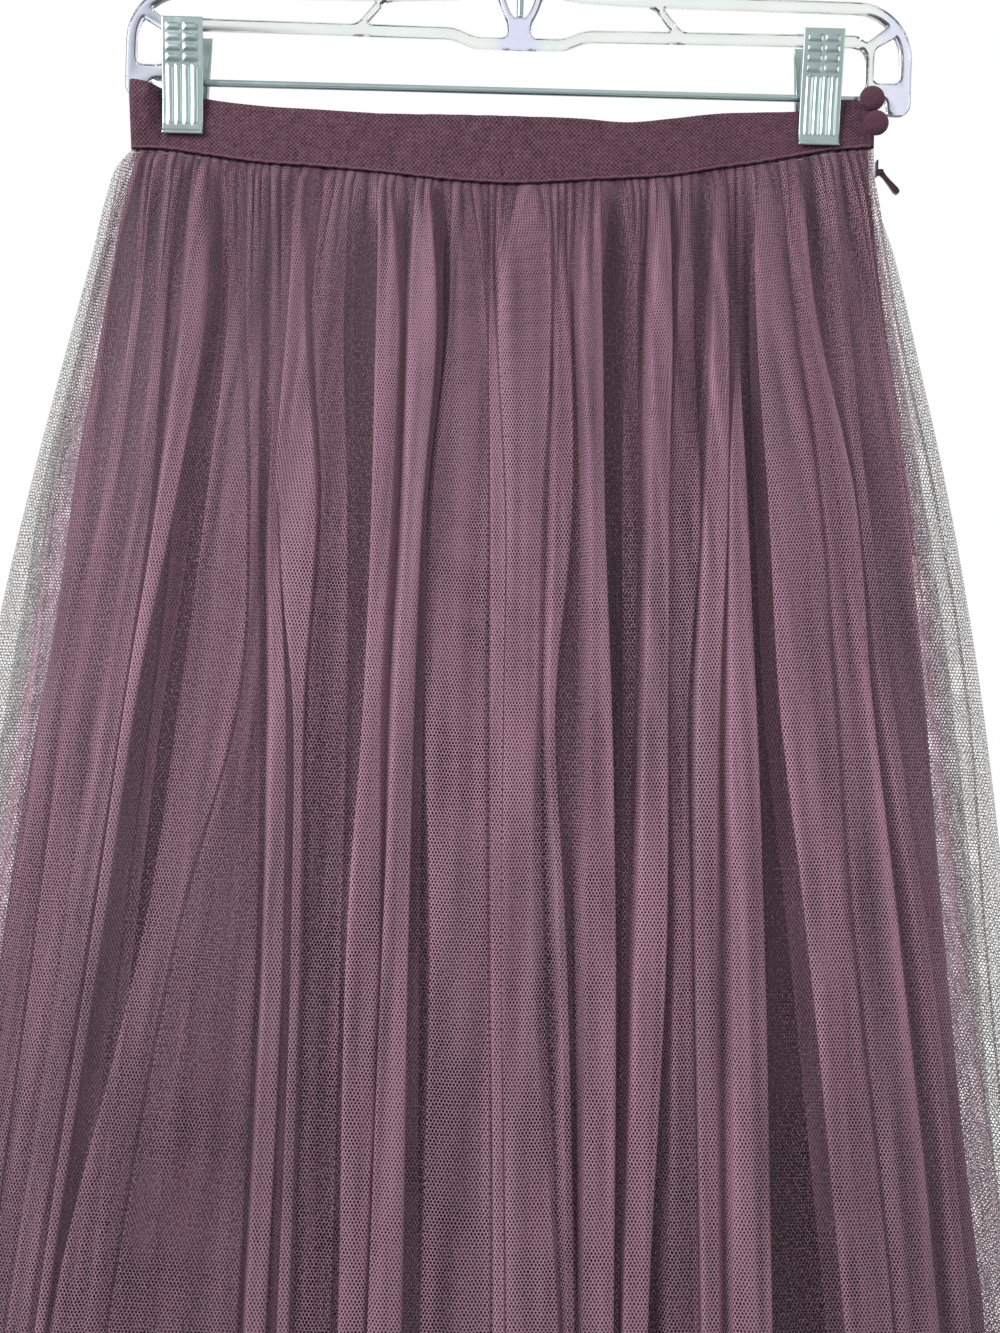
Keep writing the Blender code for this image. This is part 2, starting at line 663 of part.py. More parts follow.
def zip_pull():
    """A teardrop tab on an eye, hanging outwards from the slider's pin."""
    curve = bpy.data.curves.new("zip_pull", "CURVE")
    curve.dimensions = "2D"
    curve.fill_mode = "BOTH"
    curve.extrude = 1.0
    tip = -PULL_LENGTH
    outline = arc((0.0, 0.0), PULL_EYE_OUTER, -30, 210, 8)
    left_side = [(-PULL_NECK, -2.6), (-PULL_NECK, -6.0), (-PULL_BODY, tip + 2.0), (-0.7, tip + 0.4)]
    outline += left_side + [(0.0, tip)]
    outline += [(-px, pz) for px, pz in reversed(left_side)]
    hole = arc((0.0, 0.0), PULL_EYE_INNER, 0, -324, 9)
    for loop in (outline, hole):
        spline = curve.splines.new("POLY")
        spline.points.add(len(loop) - 1)
        for point, (px, pz) in zip(spline.points, loop):
            point.co = (px, pz, 0.0, 1.0)
        spline.use_cyclic_u = True
    thing = bpy.data.objects.new("zip_pull", curve)
    PARTS.objects.link(thing)
    mesh = curve_as_mesh(thing)
    for vertex in mesh.vertices:
        share = (-vertex.co.y - 2.0) / (PULL_LENGTH - 4.0)
        widening = PULL_THICKNESS + PULL_SWELL * ease(share)
        vertex.co = Vector((vertex.co.x, vertex.co.z * widening, vertex.co.y)) * MM
    mesh.flip_normals()
    pull = place("zip_pull", mesh, "zip")
    pull.location = Vector(PULL_EYE) * MM
    pull.rotation_euler = (0.0, -math.radians(PULL_ANGLE), 0.0)


def button(name, centre, turn):
    """A cloth-covered dome with its shank, turned about its axis."""
    profile = [(0.0, -SHANK_LENGTH), (SHANK_RADIUS, -SHANK_LENGTH), (SHANK_RADIUS, 0.0)]
    for radius_share, height_share in BUTTON_DOME:
        profile.append((BUTTON_RADIUS * radius_share, BUTTON_HEIGHT * height_share))
    tool = bmesh.new()
    rail = [tool.verts.new((radius * MM, 0.0, height * MM)) for radius, height in reversed(profile)]
    for a, b in zip(rail, rail[1:]):
        tool.edges.new((a, b))
    thing = place(name, mesh_from(name, tool), "button")
    screw = thing.modifiers.new("turn", "SCREW")
    screw.steps = 16
    screw.render_steps = 16
    screw.use_merge_vertices = True
    screw.merge_threshold = 0.00001
    screw.use_smooth_shade = True
    thing.location = Vector(centre) * MM
    thing.rotation_euler = (math.radians(90), 0.0, math.radians(turn))


# ---------------------------------------------------------------- hanger


def frame_outline():
    """The frame's outer edge: its right half and that half mirrored."""
    half = HANGER_HALF_WIDTH
    right_half = [(0.0, HUB_TOP)] + LOOP_INSIDE + FRAME_TOP
    right_half += arc(FRAME_CORNER, half - FRAME_CORNER[0], 82, 0, 6)
    right_half += [(half, BOSS_FOOT)] + arc((half - BOSS_ROUND, BOSS_FOOT), BOSS_ROUND, -15, -90, 3)
    right_half += FRAME_UNDERSIDE
    return right_half + [(-x, z) for x, z in reversed(right_half) if abs(x) > GAP]


def frame_windows():
    """The right side's windows between rails, struts and arms."""
    inner_edge = HANGER_HALF_WIDTH - FRAME_ARM
    corner = inner_edge - FRAME_CORNER[0]
    end_window = [(UPRIGHT_OUTSIDE, BOSS_TOP), (inner_edge, BOSS_TOP), (inner_edge, FRAME_CORNER[1])]
    end_window += arc(FRAME_CORNER, corner, 12, 30, 2)
    end_window += [(161.0, -96.3)]
    side_window = [(152.3, -80.5)] + arc(FRAME_CORNER, corner, 76, 46, 3) + SIDE_WINDOW
    return end_window, side_window, MIDDLE_WINDOW


def hanger_frame():
    """The flat moulded frame: its outer outline and its windows, drawn flat and then stood up."""
    loops = [frame_outline()]
    for window in frame_windows():
        loops.append(window)
        loops.append([(-x, z) for x, z in window])
    curve = bpy.data.curves.new("hanger_frame", "CURVE")
    curve.dimensions = "2D"
    curve.fill_mode = "BOTH"
    curve.extrude = FRAME_THICKNESS / 2 * MM
    for loop in loops:
        spline = curve.splines.new("POLY")
        spline.points.add(len(loop) - 1)
        for point, (x, z) in zip(spline.points, loop):
            point.co = (x * MM, z * MM, 0.0, 1.0)
        spline.use_cyclic_u = True
    thing = bpy.data.objects.new("hanger_frame", curve)
    PARTS.objects.link(thing)
    mesh = curve_as_mesh(thing, Matrix.Rotation(math.pi / 2, 4, "X"))
    place("hanger_frame", mesh, "clear")


def hanger_hook():
    """The hook's wire: up from the hub, round and over the rail that would carry it."""
    curve = bpy.data.curves.new("hanger_hook", "CURVE")
    curve.dimensions = "3D"
    curve.bevel_depth = WIRE_RADIUS * MM
    curve.bevel_resolution = 2
    curve.use_fill_caps = True
    centre = (0.0, WIRE_RADIUS - HOOK_RADIUS)
    path = [(0.0, HUB_TOP + GAP), (0.0, -72.0), (0.0, -56.0), (0.0, -50.5)]
    path += [(1.0, -46.6), (4.0, -43.0), (8.8, -40.2)]
    path += arc(centre, HOOK_RADIUS, -42, 196, 20)
    path += [(-21.6, -29.5), (-23.8, -33.0)]
    spline = curve.splines.new("POLY")
    spline.points.add(len(path) - 1)
    for point, (x, z) in zip(spline.points, path):
        point.co = (x * MM, 0.0, z * MM, 1.0)
    thing = bpy.data.objects.new("hanger_hook", curve)
    PARTS.objects.link(thing)
    mesh = curve_as_mesh(thing)
    smooth(mesh, 50)
    place("hanger_hook", mesh, "chrome")


def hanger_collar():
    """The turned collar that the hook swivels in."""
    inside = WIRE_RADIUS + GAP
    profile = [(COLLAR_RADIUS - COLLAR_BEVEL, COLLAR_TOP), (COLLAR_RADIUS, COLLAR_TOP - COLLAR_BEVEL)]
    profile += [(COLLAR_RADIUS, COLLAR_BOTTOM), (inside, COLLAR_BOTTOM), (inside, COLLAR_TOP)]
    tool = bmesh.new()
    ring = [tool.verts.new((radius * MM, 0.0, height * MM)) for radius, height in profile]
    for a, b in zip(ring, ring[1:] + ring[:1]):
        tool.edges.new((a, b))
    thing = place("hanger_collar", mesh_from("hanger_collar", tool), "clear")
    screw = thing.modifiers.new("turn", "SCREW")
    screw.steps = 20
    screw.render_steps = 20
    screw.use_merge_vertices = True
    screw.merge_threshold = 0.00001


def hanger_rod():
    tool = turned_disc(ROD_RADIUS, 2 * (UPRIGHT_INSIDE - GAP), 14, "X")
    bmesh.ops.translate(tool, vec=(0.0, 0.0, ROD_Z * MM), verts=tool.verts)
    mesh = mesh_from("hanger_rod", tool)
    smooth(mesh, 40)
    place("hanger_rod", mesh, "chrome")


def raised_cell(x, drop):
    """The pad or flute that a cell of the jaw's face belongs to, or None."""
    for top in PAD_TOPS:
        if top < drop < top + PAD_HEIGHT and PAD_SIDES[0] < abs(x) < PAD_SIDES[1]:
            return ("pad", top, x < 0.0)
    for near, far in FLUTE_SIDES:
        if FLUTE_START < drop < LIP_DROP and near < abs(x) < far:
            return ("flute", near, x < 0.0)
    return None


def jaw_lean(drop):
    """Depth of the plate's front face: wide open at the top, closing on the band at the tip."""
    grip = -(PINCHED + BAND_INSET + BAND_WALL + GAP + CLIP_PLATE + GRIP_CLEARANCE)
    if drop > LIP_DROP:
        return grip - LIP_FLARE * (drop - LIP_DROP) / (CLIP_HEIGHT - LIP_DROP)
    share = drop / LIP_DROP
    return mix(JAW_MOUTH, grip, (ease(share) + share) / 2)


def jaw_mesh(name):
    """A clip's front jaw, made at the origin: a leaning plate with grip pads and flutes drawn out of it."""
    half = CLIP_WIDTH / 2
    sides = (half,) + PAD_SIDES + FLUTE_SIDES[0] + FLUTE_SIDES[1]
    columns = sorted(turn * side for side in sides for turn in (-1, 1))
    rows = [0.0]
    for top in PAD_TOPS:
        rows += [top, top + PAD_HEIGHT]
    rows += [FLUTE_START, LIP_DROP, LIP_DROP + LIP_BEND, CLIP_HEIGHT]
    tool = bmesh.new()
    grids = []
    for depth in (0.0, CLIP_PLATE):
        grid = []
        for drop in rows:
            y = jaw_lean(drop) + depth
            grid.append([tool.verts.new((x * MM, y * MM, -drop * MM)) for x in columns])
        grids.append(grid)
    front, back = grids
    raised = {}
    for r in range(len(rows) - 1):
        for c in range(len(columns) - 1):
            face = tool.faces.new((front[r][c], front[r + 1][c], front[r + 1][c + 1], front[r][c + 1]))
            tool.faces.new((back[r][c], back[r][c + 1], back[r + 1][c + 1], back[r + 1][c]))
            cell = raised_cell((columns[c] + columns[c + 1]) / 2, (rows[r] + rows[r + 1]) / 2)
            if cell:
                raised.setdefault(cell, []).append(face)
    right = len(columns) - 1
    for r in range(len(rows) - 1):
        tool.faces.new((front[r][0], back[r][0], back[r + 1][0], front[r + 1][0]))
        tool.faces.new((front[r][right], front[r + 1][right], back[r + 1][right], back[r][right]))
    tip = len(rows) - 1
    for c in range(len(columns) - 1):
        tool.faces.new((front[0][c], front[0][c + 1], back[0][c + 1], back[0][c]))
        tool.faces.new((front[tip][c], back[tip][c], back[tip][c + 1], front[tip][c + 1]))
    for faces in raised.values():
        grown = bmesh.ops.extrude_face_region(tool, geom=faces)
        verts = [item for item in grown["geom"] if isinstance(item, bmesh.types.BMVert)]
        bmesh.ops.translate(tool, vec=(0.0, -RELIEF * MM, 0.0), verts=verts)
        bmesh.ops.delete(tool, geom=faces, context="FACES_ONLY")
    limit = math.radians(1.0)
    bmesh.ops.dissolve_limit(tool, angle_limit=limit, verts=tool.verts, edges=tool.edges)
    bmesh.ops.triangulate(tool, faces=tool.faces)
    return mesh_from(name, tool)


def flange_meshes(name):
    """The jaw's two side flanges, which run back towards the rod."""
    made = []
    outline = [(drop, jaw_lean(drop) + CLIP_PLATE / 2) for drop in FLANGE_FRONT_DROPS]
    outline += [(drop, FLANGE_BACK) for drop in FLANGE_BACK_DROPS]
    for turn in (-1, 1):
        tool = bmesh.new()
        outside = (CLIP_WIDTH / 2 - FLANGE_INSET) * turn
        inside = (CLIP_WIDTH / 2 - FLANGE_INSET - FLANGE_WALL) * turn
        loops = []
        for x in (outside, inside):
            loops.append([tool.verts.new((x * MM, y * MM, -drop * MM)) for drop, y in outline])
        for index in range(len(outline)):
            after = (index + 1) % len(outline)
            tool.faces.new((loops[0][index], loops[0][after], loops[1][after], loops[1][index]))
        tool.faces.new(loops[0])
        tool.faces.new(loops[1][::-1])
        bmesh.ops.recalc_face_normals(tool, faces=tool.faces)
        made.append(mesh_from(name, tool))
    return made


def clip(side):
    """A clip: two jaws of the same shape, back to back, and the barrel they turn on."""
    centre = Vector((CLIP_X[side], 0.0, CLIP_TOP[side])) * MM
    pieces = [jaw_mesh("jaw")] + flange_meshes("flange")
    front = joined(f"clip_{side}_front", pieces, "chrome")
    back = place(f"clip_{side}_back", front.data.copy(), "chrome")
    back.data.materials.clear()
    back.data.materials.append(material("chrome"))
    for jaw, yaw in ((front, 0.0), (back, math.pi)):
        jaw.location = centre
        jaw.rotation_euler = (0.0, 0.0, yaw)
    barrel(side, centre)


def barrel(side, centre):
    """The spring barrel round the rod, between the jaws' flanges."""
    inside = ROD_RADIUS + GAP
    half = BARREL_LENGTH / 2
    profile = [(BARREL_RADIUS, half), (BARREL_RADIUS, -half), (inside, -half), (inside, half)]
    tool = bmesh.new()
    ring = [tool.verts.new((radius * MM, 0.0, height * MM)) for radius, height in profile]
    for a, b in zip(ring, ring[1:] + ring[:1]):
        tool.edges.new((a, b))
    thing = place(f"clip_{side}_barrel", mesh_from("barrel", tool), "chrome")
    screw = thing.modifiers.new("turn", "SCREW")
    screw.steps = 16
    screw.render_steps = 16
    screw.use_merge_vertices = True
    screw.merge_threshold = 0.00001
    thing.location = (centre.x, 0.0, ROD_Z * MM)
    thing.rotation_euler = (0.0, math.radians(90), 0.0)


empty_scene()
PARTS = new_collection("tulle_skirt")
build_skirt()
zip_tape()
zip_slider()
zip_pull()
button("button_upper", (158.6, -7.5, -121.8), 0.0)
button("button_lower", (160.7, -7.3, -132.6), 32.0)
hanger_frame()
hanger_collar()
hanger_hook()
hanger_rod()
clip("left")
clip("right")
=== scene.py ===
"""Looks of the gathered tulle skirt and its clip hanger. Sizes and tables are in millimetres."""

import math

import bmesh
import bpy
import numpy as np
from mathutils import Matrix, Vector


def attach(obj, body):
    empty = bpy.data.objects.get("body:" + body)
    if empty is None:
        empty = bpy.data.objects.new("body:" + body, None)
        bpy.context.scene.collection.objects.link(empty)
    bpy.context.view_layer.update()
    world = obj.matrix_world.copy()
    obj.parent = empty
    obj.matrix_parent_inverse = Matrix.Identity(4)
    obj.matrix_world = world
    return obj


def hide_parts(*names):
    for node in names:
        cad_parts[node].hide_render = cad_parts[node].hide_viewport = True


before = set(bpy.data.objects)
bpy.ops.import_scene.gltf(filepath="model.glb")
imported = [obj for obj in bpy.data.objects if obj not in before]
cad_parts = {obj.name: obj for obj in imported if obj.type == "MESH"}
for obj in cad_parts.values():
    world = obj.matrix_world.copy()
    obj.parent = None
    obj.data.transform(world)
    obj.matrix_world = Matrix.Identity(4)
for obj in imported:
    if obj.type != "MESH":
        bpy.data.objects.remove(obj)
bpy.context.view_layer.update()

MM = 0.001
SKIRT = "skirt"

# ---------------------------------------------------------------- sizes

EYE_DISTANCE = 700.0  # from the camera to the plane of the hanger
EYE_X = -1.3
EYE_Z = -380.4
EYE_ROLL = math.radians(1.5)
VIEW_HEIGHT = 604.5  # of the hanger's plane that the camera takes in
SENSOR = 36.0

LEFT_END = -174.6
RIGHT_END = 162.0
RIGHT_SEAM = -140.9  # level of the seam at the right end
PINCH_LEFT = -141.4  # the clips' inner edges, where the waist is pinched shut
PINCH_RIGHT = 126.8
PINCHED = 0.1
WAIST_OPENING = 6.0
BAND_INSET = 0.9
BAND_WALL = 2.2
BAND_ROUND = 4.2
BAND_DEPTH = 27.0
BAND_END = 5.0  # run at each end over which the band's columns stand closer
FLOP = 6.5
FLOP_START = -159.9
FLOP_LENGTH = 6.6
FLOP_FADE = 0.75  # share of the band's depth over which its fallen end straightens
PULL_START = 0.55  # share of the way down the band where the gathers begin to pull it
PULL_DEPTH = 0.2
TOP_ROUND = 0.9
TOP_ROUND_SHARE = 0.05
FACING_GAP = 0.9
PIPING_RADIUS = 0.62
NET_WALL = 1.0
STACK_TOP = 2.7
SHOWN_DEPTH = 0.9  # how far forward the folds stand that the eye sees: share of the half depth,
SHOWN_FRONT = 8.0  # and the rest of it
WAIST_FADE = 260.0
SEAM_FADE = 200.0
SEAM_Z = -160.0
HEM_Z = -1160.0
SKIRT_LENGTH = SEAM_Z - HEM_Z
SIDE_FLATTENING = 0.22
SEAM_HALF_GAP = 0.15
SEAM_UNDER = 0.3  # how far the layers start below the band's foot,
STACK_UNDER = 0.5  # and share of its place in the stack that an inner layer starts lower
SEAM_TUCK = 0.62  # share of a layer's own wall and stack that the seam pulls it in by
SEAM_TUCK_FADE = 3.2
MARGIN_EASE = 0.5  # share of the run round the open sides that the net is eased in by
MARGIN_FADE = 9.0  # from the lining's edge out to the open net
MARGIN_START = 3.0  # this side of the lining's edge
MARGIN_UNEVEN = 0.2  # share of the folds' own cover that the open net keeps
MARGIN_LIGHT = 0.5  # thread cover that a fold's edge adds there
CUT_ROW = 0.6  # share of a panel's rows above the one whose run sets its flat width
CUT_EVEN = 0.1  # share by which the flat cut follows that row all the way down

# The waistband's edges: place across, height of the top edge, height of the bottom edge
BAND_EDGES = np.array([
    (-174.6, -121.0, -150.3), (-160.0, -123.5, -150.3), (-140.0, -127.5, -152.5),
    (-120.0, -129.7, -155.0), (-90.0, -131.5, -157.0), (-60.0, -133.2, -159.5),
    (-30.0, -133.4, -162.5), (0.0, -133.5, -163.5), (30.0, -133.6, -161.0),
    (50.0, -134.2, -159.2), (70.0, -131.5, -157.0), (90.0, -128.4, -153.0),
    (110.0, -127.0, -149.5), (127.0, -126.0, -146.0), (143.0, -123.2, -142.9),
    (146.0, -121.4, -142.6), (162.0, -121.3, -140.9),
])
BAND_TOP, BAND_FOOT = 1, 2

# Reach at each drop below the seam: drop, outer net left and right, inner net left and right,
# lining left and right, half depth, side rounding
REACH = np.array([
    (0, 174.6, 162.0, 173.3, 160.7, 172.0, 159.4, 0.0, 4.2),
    (8, 181.0, 162.3, 176.0, 161.4, 174.0, 159.9, 2.0, 7.0),
    (20, 185.0, 163.4, 180.0, 162.0, 177.0, 160.6, 5.0, 12.0),
    (45, 190.5, 172.2, 186.5, 167.0, 181.0, 163.5, 11.0, 20.0),
    (90, 201.5, 184.5, 196.5, 176.5, 187.7, 170.2, 21.0, 32.0),
    (140, 213.5, 197.4, 209.0, 187.0, 195.4, 179.0, 30.0, 45.0),
    (200, 226.5, 210.3, 217.5, 198.0, 202.0, 187.5, 39.0, 60.0),
    (300, 242.5, 226.3, 231.0, 212.5, 217.0, 198.4, 51.0, 80.0),
    (420, 260.0, 240.0, 245.0, 225.5, 230.0, 212.5, 62.0, 100.0),
    (600, 282.5, 259.0, 264.0, 248.0, 246.0, 238.0, 75.0, 125.0),
    (800, 304.0, 276.0, 284.0, 266.0, 261.0, 254.0, 87.0, 150.0),
    (1000, 320.0, 290.0, 300.0, 280.0, 275.0, 268.0, 96.0, 170.0),
])
DEPTH, ROUND = 7, 8  # columns of REACH
# each layer: its column in REACH, place in the stack at the waist, share of the depth, length kept
LAYERS = {
    "lining": (5, 0.1, 0.70, 0.980),
    "net_inner": (3, 1.4, 0.85, 0.992),
    "net_outer": (1, 2.7, 1.0, 1.0),
}

# Folds of the front from left to right. Each row has the fold's centre and its width at the six front
# levels, as seen from the eye against the hanger's plane; then its height, how far it tucks in under its
# left and right edge, the drops at which it starts and is full, and how high the valley to its right
# stays, as a share; then the thread cover of its top, and of that valley at the three cover levels
FRONT_LEVELS = (0.0, 60.0, 150.0, 240.0, 330.0, 515.0)
COVER_LEVELS = (60.0, 240.0, 515.0)
FRONT_FOLDS = [
    ((-175, -191, -209, -217, -228, -242), (1.5, 2, 3, 3, 3, 4),
     (2.5, -0.7, -0.7, -14, 31, 0.2), (0.5, 0.3, 0.4, 0.4)),
    ((-171, -184, -194, -207, -214, -233), (2, 3, 4, 6, 6, 7),
     (2.6, -1.8, -1.5, -14, 31, 0.4), (0.42, 0.12, 0.2, 0.3)),
    ((-166, -170, -181, -195, -204, -224), (3, 3, 4, 7, 8, 8),
     (3.0, -1.8, -1.5, -14, 31, 0.4), (0.42, 0.1, 0.25, 0.3)),
    ((-152, -158.5, -165, -176, -187, -212), (5, 3.5, 6, 8, 8, 9),
     (3.4, -1.8, -1.0, -14, 31, 0.3), (0.45, 0.12, 0.25, 0.1)),
    ((-142, -143, -153.5, -167.5, -178, -200), (6, 10, 8, 5, 4.5, 4),
     (6.8, -2.2, 1.5, -14, 31, 0), (0.7, 0.2, 0.05, 0.05)),
    ((-129, -126.5, -127, -133, -149.5, -184), (5, 4.5, 18, 26, 15, 24),
     (3.4, -0.5, -2, -14, 31, 0.7), (0.38, 0.26, 0.25, 0.2)),
    ((-117, -116, -114.5, -114, -124, -141), (3, 4, 3, 8, 30, 56),
     (2.5, -2, -2, -14, 31, 0), (0.3, 0.0, 0.05, 0.15)),
    ((-107, -104, -105, -100.5, -99.5, -103), (3, 3, 4, 7, 8, 9),
     (7.6, -1.6, 1.5, 90, 170, 0.1), (1.0, 0.3, 0.1, 0.3)),
    ((-97, -97, -95, -91.5, -90, -91), (4, 7, 18, 5, 4, 5),
     (6, -0.5, -1.8, -14, 31, 0.3), (0.8, 0.3, 0.2, 0.25)),
    ((-77, -82, -78, -79, -79, -79), (6, 12, 12, 18, 18, 18),
     (3, -2, 0, -14, 31, 0), (0.33, 0.0, 0.2, 0.2)),
    ((-58, -55.5, -56, -58, -59, -60), (5, 10, 9, 8, 14, 12),
     (6.8, 0, -2.2, -14, 31, 0.1), (0.65, 0.1, 0.3, 0.3)),
    ((-41, -39.5, -41.5, -43.5, -44.5, -45), (6, 12, 8, 9, 11, 15),
     (9.3, -2.2, 1.5, -14, 26, 0.05), (1.0, 0.1, 0.15, 0.15)),
    ((-24, -20, -22, -21, -17, -14), (9, 16, 26, 26, 25, 30),
     (3.4, -0.7, -1.3, -14, 31, 0.7), (0.5, 0.45, 0.4, 0.35)),
    ((-10, -9, -4, -2, 0, 6), (3, 3, 6, 5, 4, 4),
     (3.9, -0.7, -2.5, 30, 90, 0.85), (0.9, 0.6, 0.6, 0.4)),
    ((6, 6, 8, 8.5, 9, 21), (16, 22, 15, 14, 13, 22),
     (3.4, -2, -4, -14, 31, 0.2), (0.7, 0.4, 0.15, 0.2)),
    ((20, 23, 25, 22.5, 29, 38), (4, 6, 8, 3, 3.5, 3.5),
     (4.2, -1.6, 0, 10, 80, 0.15), (0.75, 0.35, 0.2, 0.2)),
    ((34, 35, 40, 44, 46.5, 50), (6, 10, 7, 10, 13, 14),
     (9.3, -2, 2.5, -14, 26, 0), (0.65, 0.05, 0.0, 0.0)),
    ((54.5, 54, 55.5, 57, 57.5, 59), (4, 5, 7, 5, 2, 1.5),
     (4.2, 0, -1.8, -14, 31, 0.2), (0.2, 0.05, 0.0, 0.0)),
    ((66, 67, 68, 69, 69.5, 67), (5, 9, 9, 11, 13.5, 11),
     (7.6, -2, 0.5, -14, 26, 0.1), (0.75, 0.15, 0.05, 0.0)),
    ((77, 78, 80, 80, 84, 89), (5, 7, 14, 8, 8, 14),
     (4.2, -1.5, -0.5, -14, 31, 0.15), (0.42, 0.1, 0.2, 0.25)),
    ((92, 93.5, 94, 92.5, 94, 101), (5, 7, 10, 10, 9, 8),
     (7.6, -0.5, -2, -14, 21, 0.1), (0.85, 0.2, 0.05, 0.15)),
    ((99, 100.5, 104, 108.5, 113, 120), (4, 2, 8, 12, 14, 17),
     (8.5, -2, 2, 60, 140, 0), (0.85, 0.0, 0.05, 0.05)),
    ((112, 117.5, 129.5, 138, 149, 172.5), (9, 15, 22, 24, 20, 21),
     (6.4, 1, -2, -14, 31, 0.6), (0.6, 0.35, 0.4, 0.3)),
    ((125.5, 133, 151, 161, 172, 196), (7, 7, 14, 14, 18, 20),
     (5.1, -2, 2, -14, 31, 0), (0.5, 0.25, 0.15, 0.1)),
    ((141, 150, 162, 176, 193, 221), (5, 4, 4, 5, 5, 5),
     (3.4, -2, -0.5, -14, 31, 0.2), (0.5, 0.3, 0.3, 0.3)),
    ((152, 165, 183, 197.5, 212, 247), (4, 2, 2.5, 3, 3, 3),
     (3, -0.7, -0.7, -14, 31, 0.1), (0.5, 0.35, 0.35, 0.35)),
    ((158, 172, 197, 216, 226, 252), (2, 2, 2.5, 3, 3, 3),
     (3, -0.7, -0.7, -14, 31, 0), (0.5, 0.35, 0.35, 0.35)),
]
# Folds of the back in the same columns, with places across as they are, at its own four levels
BACK_LEVELS = (0.0, 100.0, 300.0, 520.0)
BACK_FOLDS = [
    ((-168, -186, -216, -240), (2, 3, 4, 5), (4, 0.3, 0.5, 0, 50, 0.1), (0.5, 0.4, 0.4, 0.4)),
    ((-153, -166, -190, -212), (4, 6, 8, 10), (7, 1, -0.8, 0, 50, 0), (0.6, 0.3, 0.3, 0.3)),
    ((-135, -144, -164, -185), (5, 9, 20, 24), (6, -1, 1.5, 0, 45, 0.3), (0.5, 0.2, 0.2, 0.2)),
    ((-118, -124, -142, -158), (4, 6, 9, 10), (10, 2, -1, 0, 45, 0), (0.8, 0.1, 0.1, 0.1)),
    ((-100, -103, -114, -126), (6, 14, 30, 34), (5, -1, -1, 0, 60, 0.4), (0.5, 0.4, 0.4, 0.4)),
    ((-84, -84, -92, -100), (3, 4, 6, 8), (8, 1, 2, 20, 90, 0), (0.9, 0.0, 0.1, 0.1)),
    ((-65, -66, -70, -77), (6, 11, 18, 24), (5, -1, 0.5, 0, 45, 0.2), (0.5, 0.35, 0.3, 0.3)),
    ((-47, -45, -46, -49), (5, 7, 9, 9), (10, 1.5, -1, 0, 45, 0), (0.8, 0.1, 0.1, 0.1)),
    ((-28, -27, -26, -25), (8, 16, 26, 30), (4, -1, -2, 0, 60, 0.6), (0.55, 0.45, 0.4, 0.4)),
    ((-11, -8, -5, -3), (4, 4, 5, 6), (6, -1, 1.5, 30, 100, 0.2), (0.85, 0.2, 0.1, 0.1)),
    ((8, 10, 16, 20), (6, 10, 14, 18), (6, 0.5, -1, 0, 50, 0.1), (0.6, 0.3, 0.3, 0.3)),
    ((26, 29, 38, 43), (5, 7, 9, 10), (10, -1, 2, 0, 45, 0), (0.8, 0.0, 0.05, 0.1)),
    ((45, 47, 60, 68), (7, 13, 24, 28), (5, 2, -1, 0, 55, 0.5), (0.5, 0.4, 0.4, 0.4)),
    ((64, 68, 83, 94), (4, 5, 6, 7), (7, -1, 1, 20, 90, 0.1), (0.85, 0.1, 0.2, 0.2)),
    ((83, 90, 107, 122), (6, 12, 20, 24), (6, -1, -1, 0, 50, 0.2), (0.55, 0.3, 0.3, 0.3)),
    ((102, 111, 132, 150), (5, 7, 9, 11), (9, 1.5, 1, 0, 45, 0), (0.75, 0.1, 0.1, 0.1)),
    ((120, 131, 155, 176), (6, 10, 18, 22), (5, -1, 1, 0, 50, 0.4), (0.5, 0.35, 0.35, 0.35)),
    ((137, 150, 178, 202), (4, 6, 8, 9), (7, 0.5, 1, 0, 50, 0.1), (0.65, 0.3, 0.3, 0.3)),
    ((153, 167, 200, 226), (2, 3, 4, 5), (4, 0.5, 0.5, 0, 60, 0), (0.5, 0.4, 0.4, 0.4)),
]
HEIGHT, TUCK_LEFT, TUCK_RIGHT, START, FULL, FLOOR = range(6)

# Half of a fold from the valley to the crest: rise from the valley's floor, and share of the way from
# the valley's thread cover to the top's
RISE = np.array((0.0, 0.0, 0.10, 0.52, 0.92, 1.0, 0.98))
THICKEN = np.array((0.0, 0.0, 0.12, 0.66, 1.15, 0.95, 1.0))
# Painted highlight: how much paler the net is painted where it turns at a fold's edge
EDGE_PAINTED_LIGHT = np.array((0.0, 0.0, 0.0, 0.45, 1.0, 0.2, 0.0))
# Where the columns of half a fold stand on those guides
STATIONS = (0.0, 0.7, 1.4, 1.9, 2.3, 2.7, 3.1, 3.5, 3.8, 4.1, 4.4, 4.7, 5.0, 5.33, 5.66)
# Where the guides between a fold's valley, foot, edge and centre stand, as shares of the way
VALLEY_GUIDE, SIDE_GUIDE, TOP_GUIDE = 0.65, 0.6, 0.45
SIDE_SHARES = np.array((0.0, 0.04, 0.12, 0.25, 0.42, 0.62, 0.82))
SIDE_COVER = 0.30  # thread cover at the sides, and wherever no fold has formed
SIDE_SPREAD = 2.4  # how much wider a fold's sloping sides grow on the way down
SIDE_SPREAD_DROP = 350.0
NARROWEST_FOLD = 1.2
FULL_TUCK_WIDTH = 4.0  # of a fold that tucks in all the way
FOOT_SHARE = 0.15  # of its width that a fold's foot keeps from its centre
FULL_COVER = 1.05
END_VALLEY = 0.45  # where the outermost valleys lie between the panel's side and the first fold
EDGE_GAP = 2.0  # that a fold's centre keeps from the panel's sides
GATHER_PITCH = 4.3
GATHER_HEIGHT = 2.8
GATHER_SEWN = 0.3  # share of their height that the gathers have at the seam,
GATHER_RISE = 5.0  # and the drop at which they have it all
GATHER_START = 6.0  # the drop from which they fade
GATHER_LENGTHS = (30.0, 120.0)
GATHER_SIZES = (0.55, 1.3)
GATHER_ROUND = 0.55
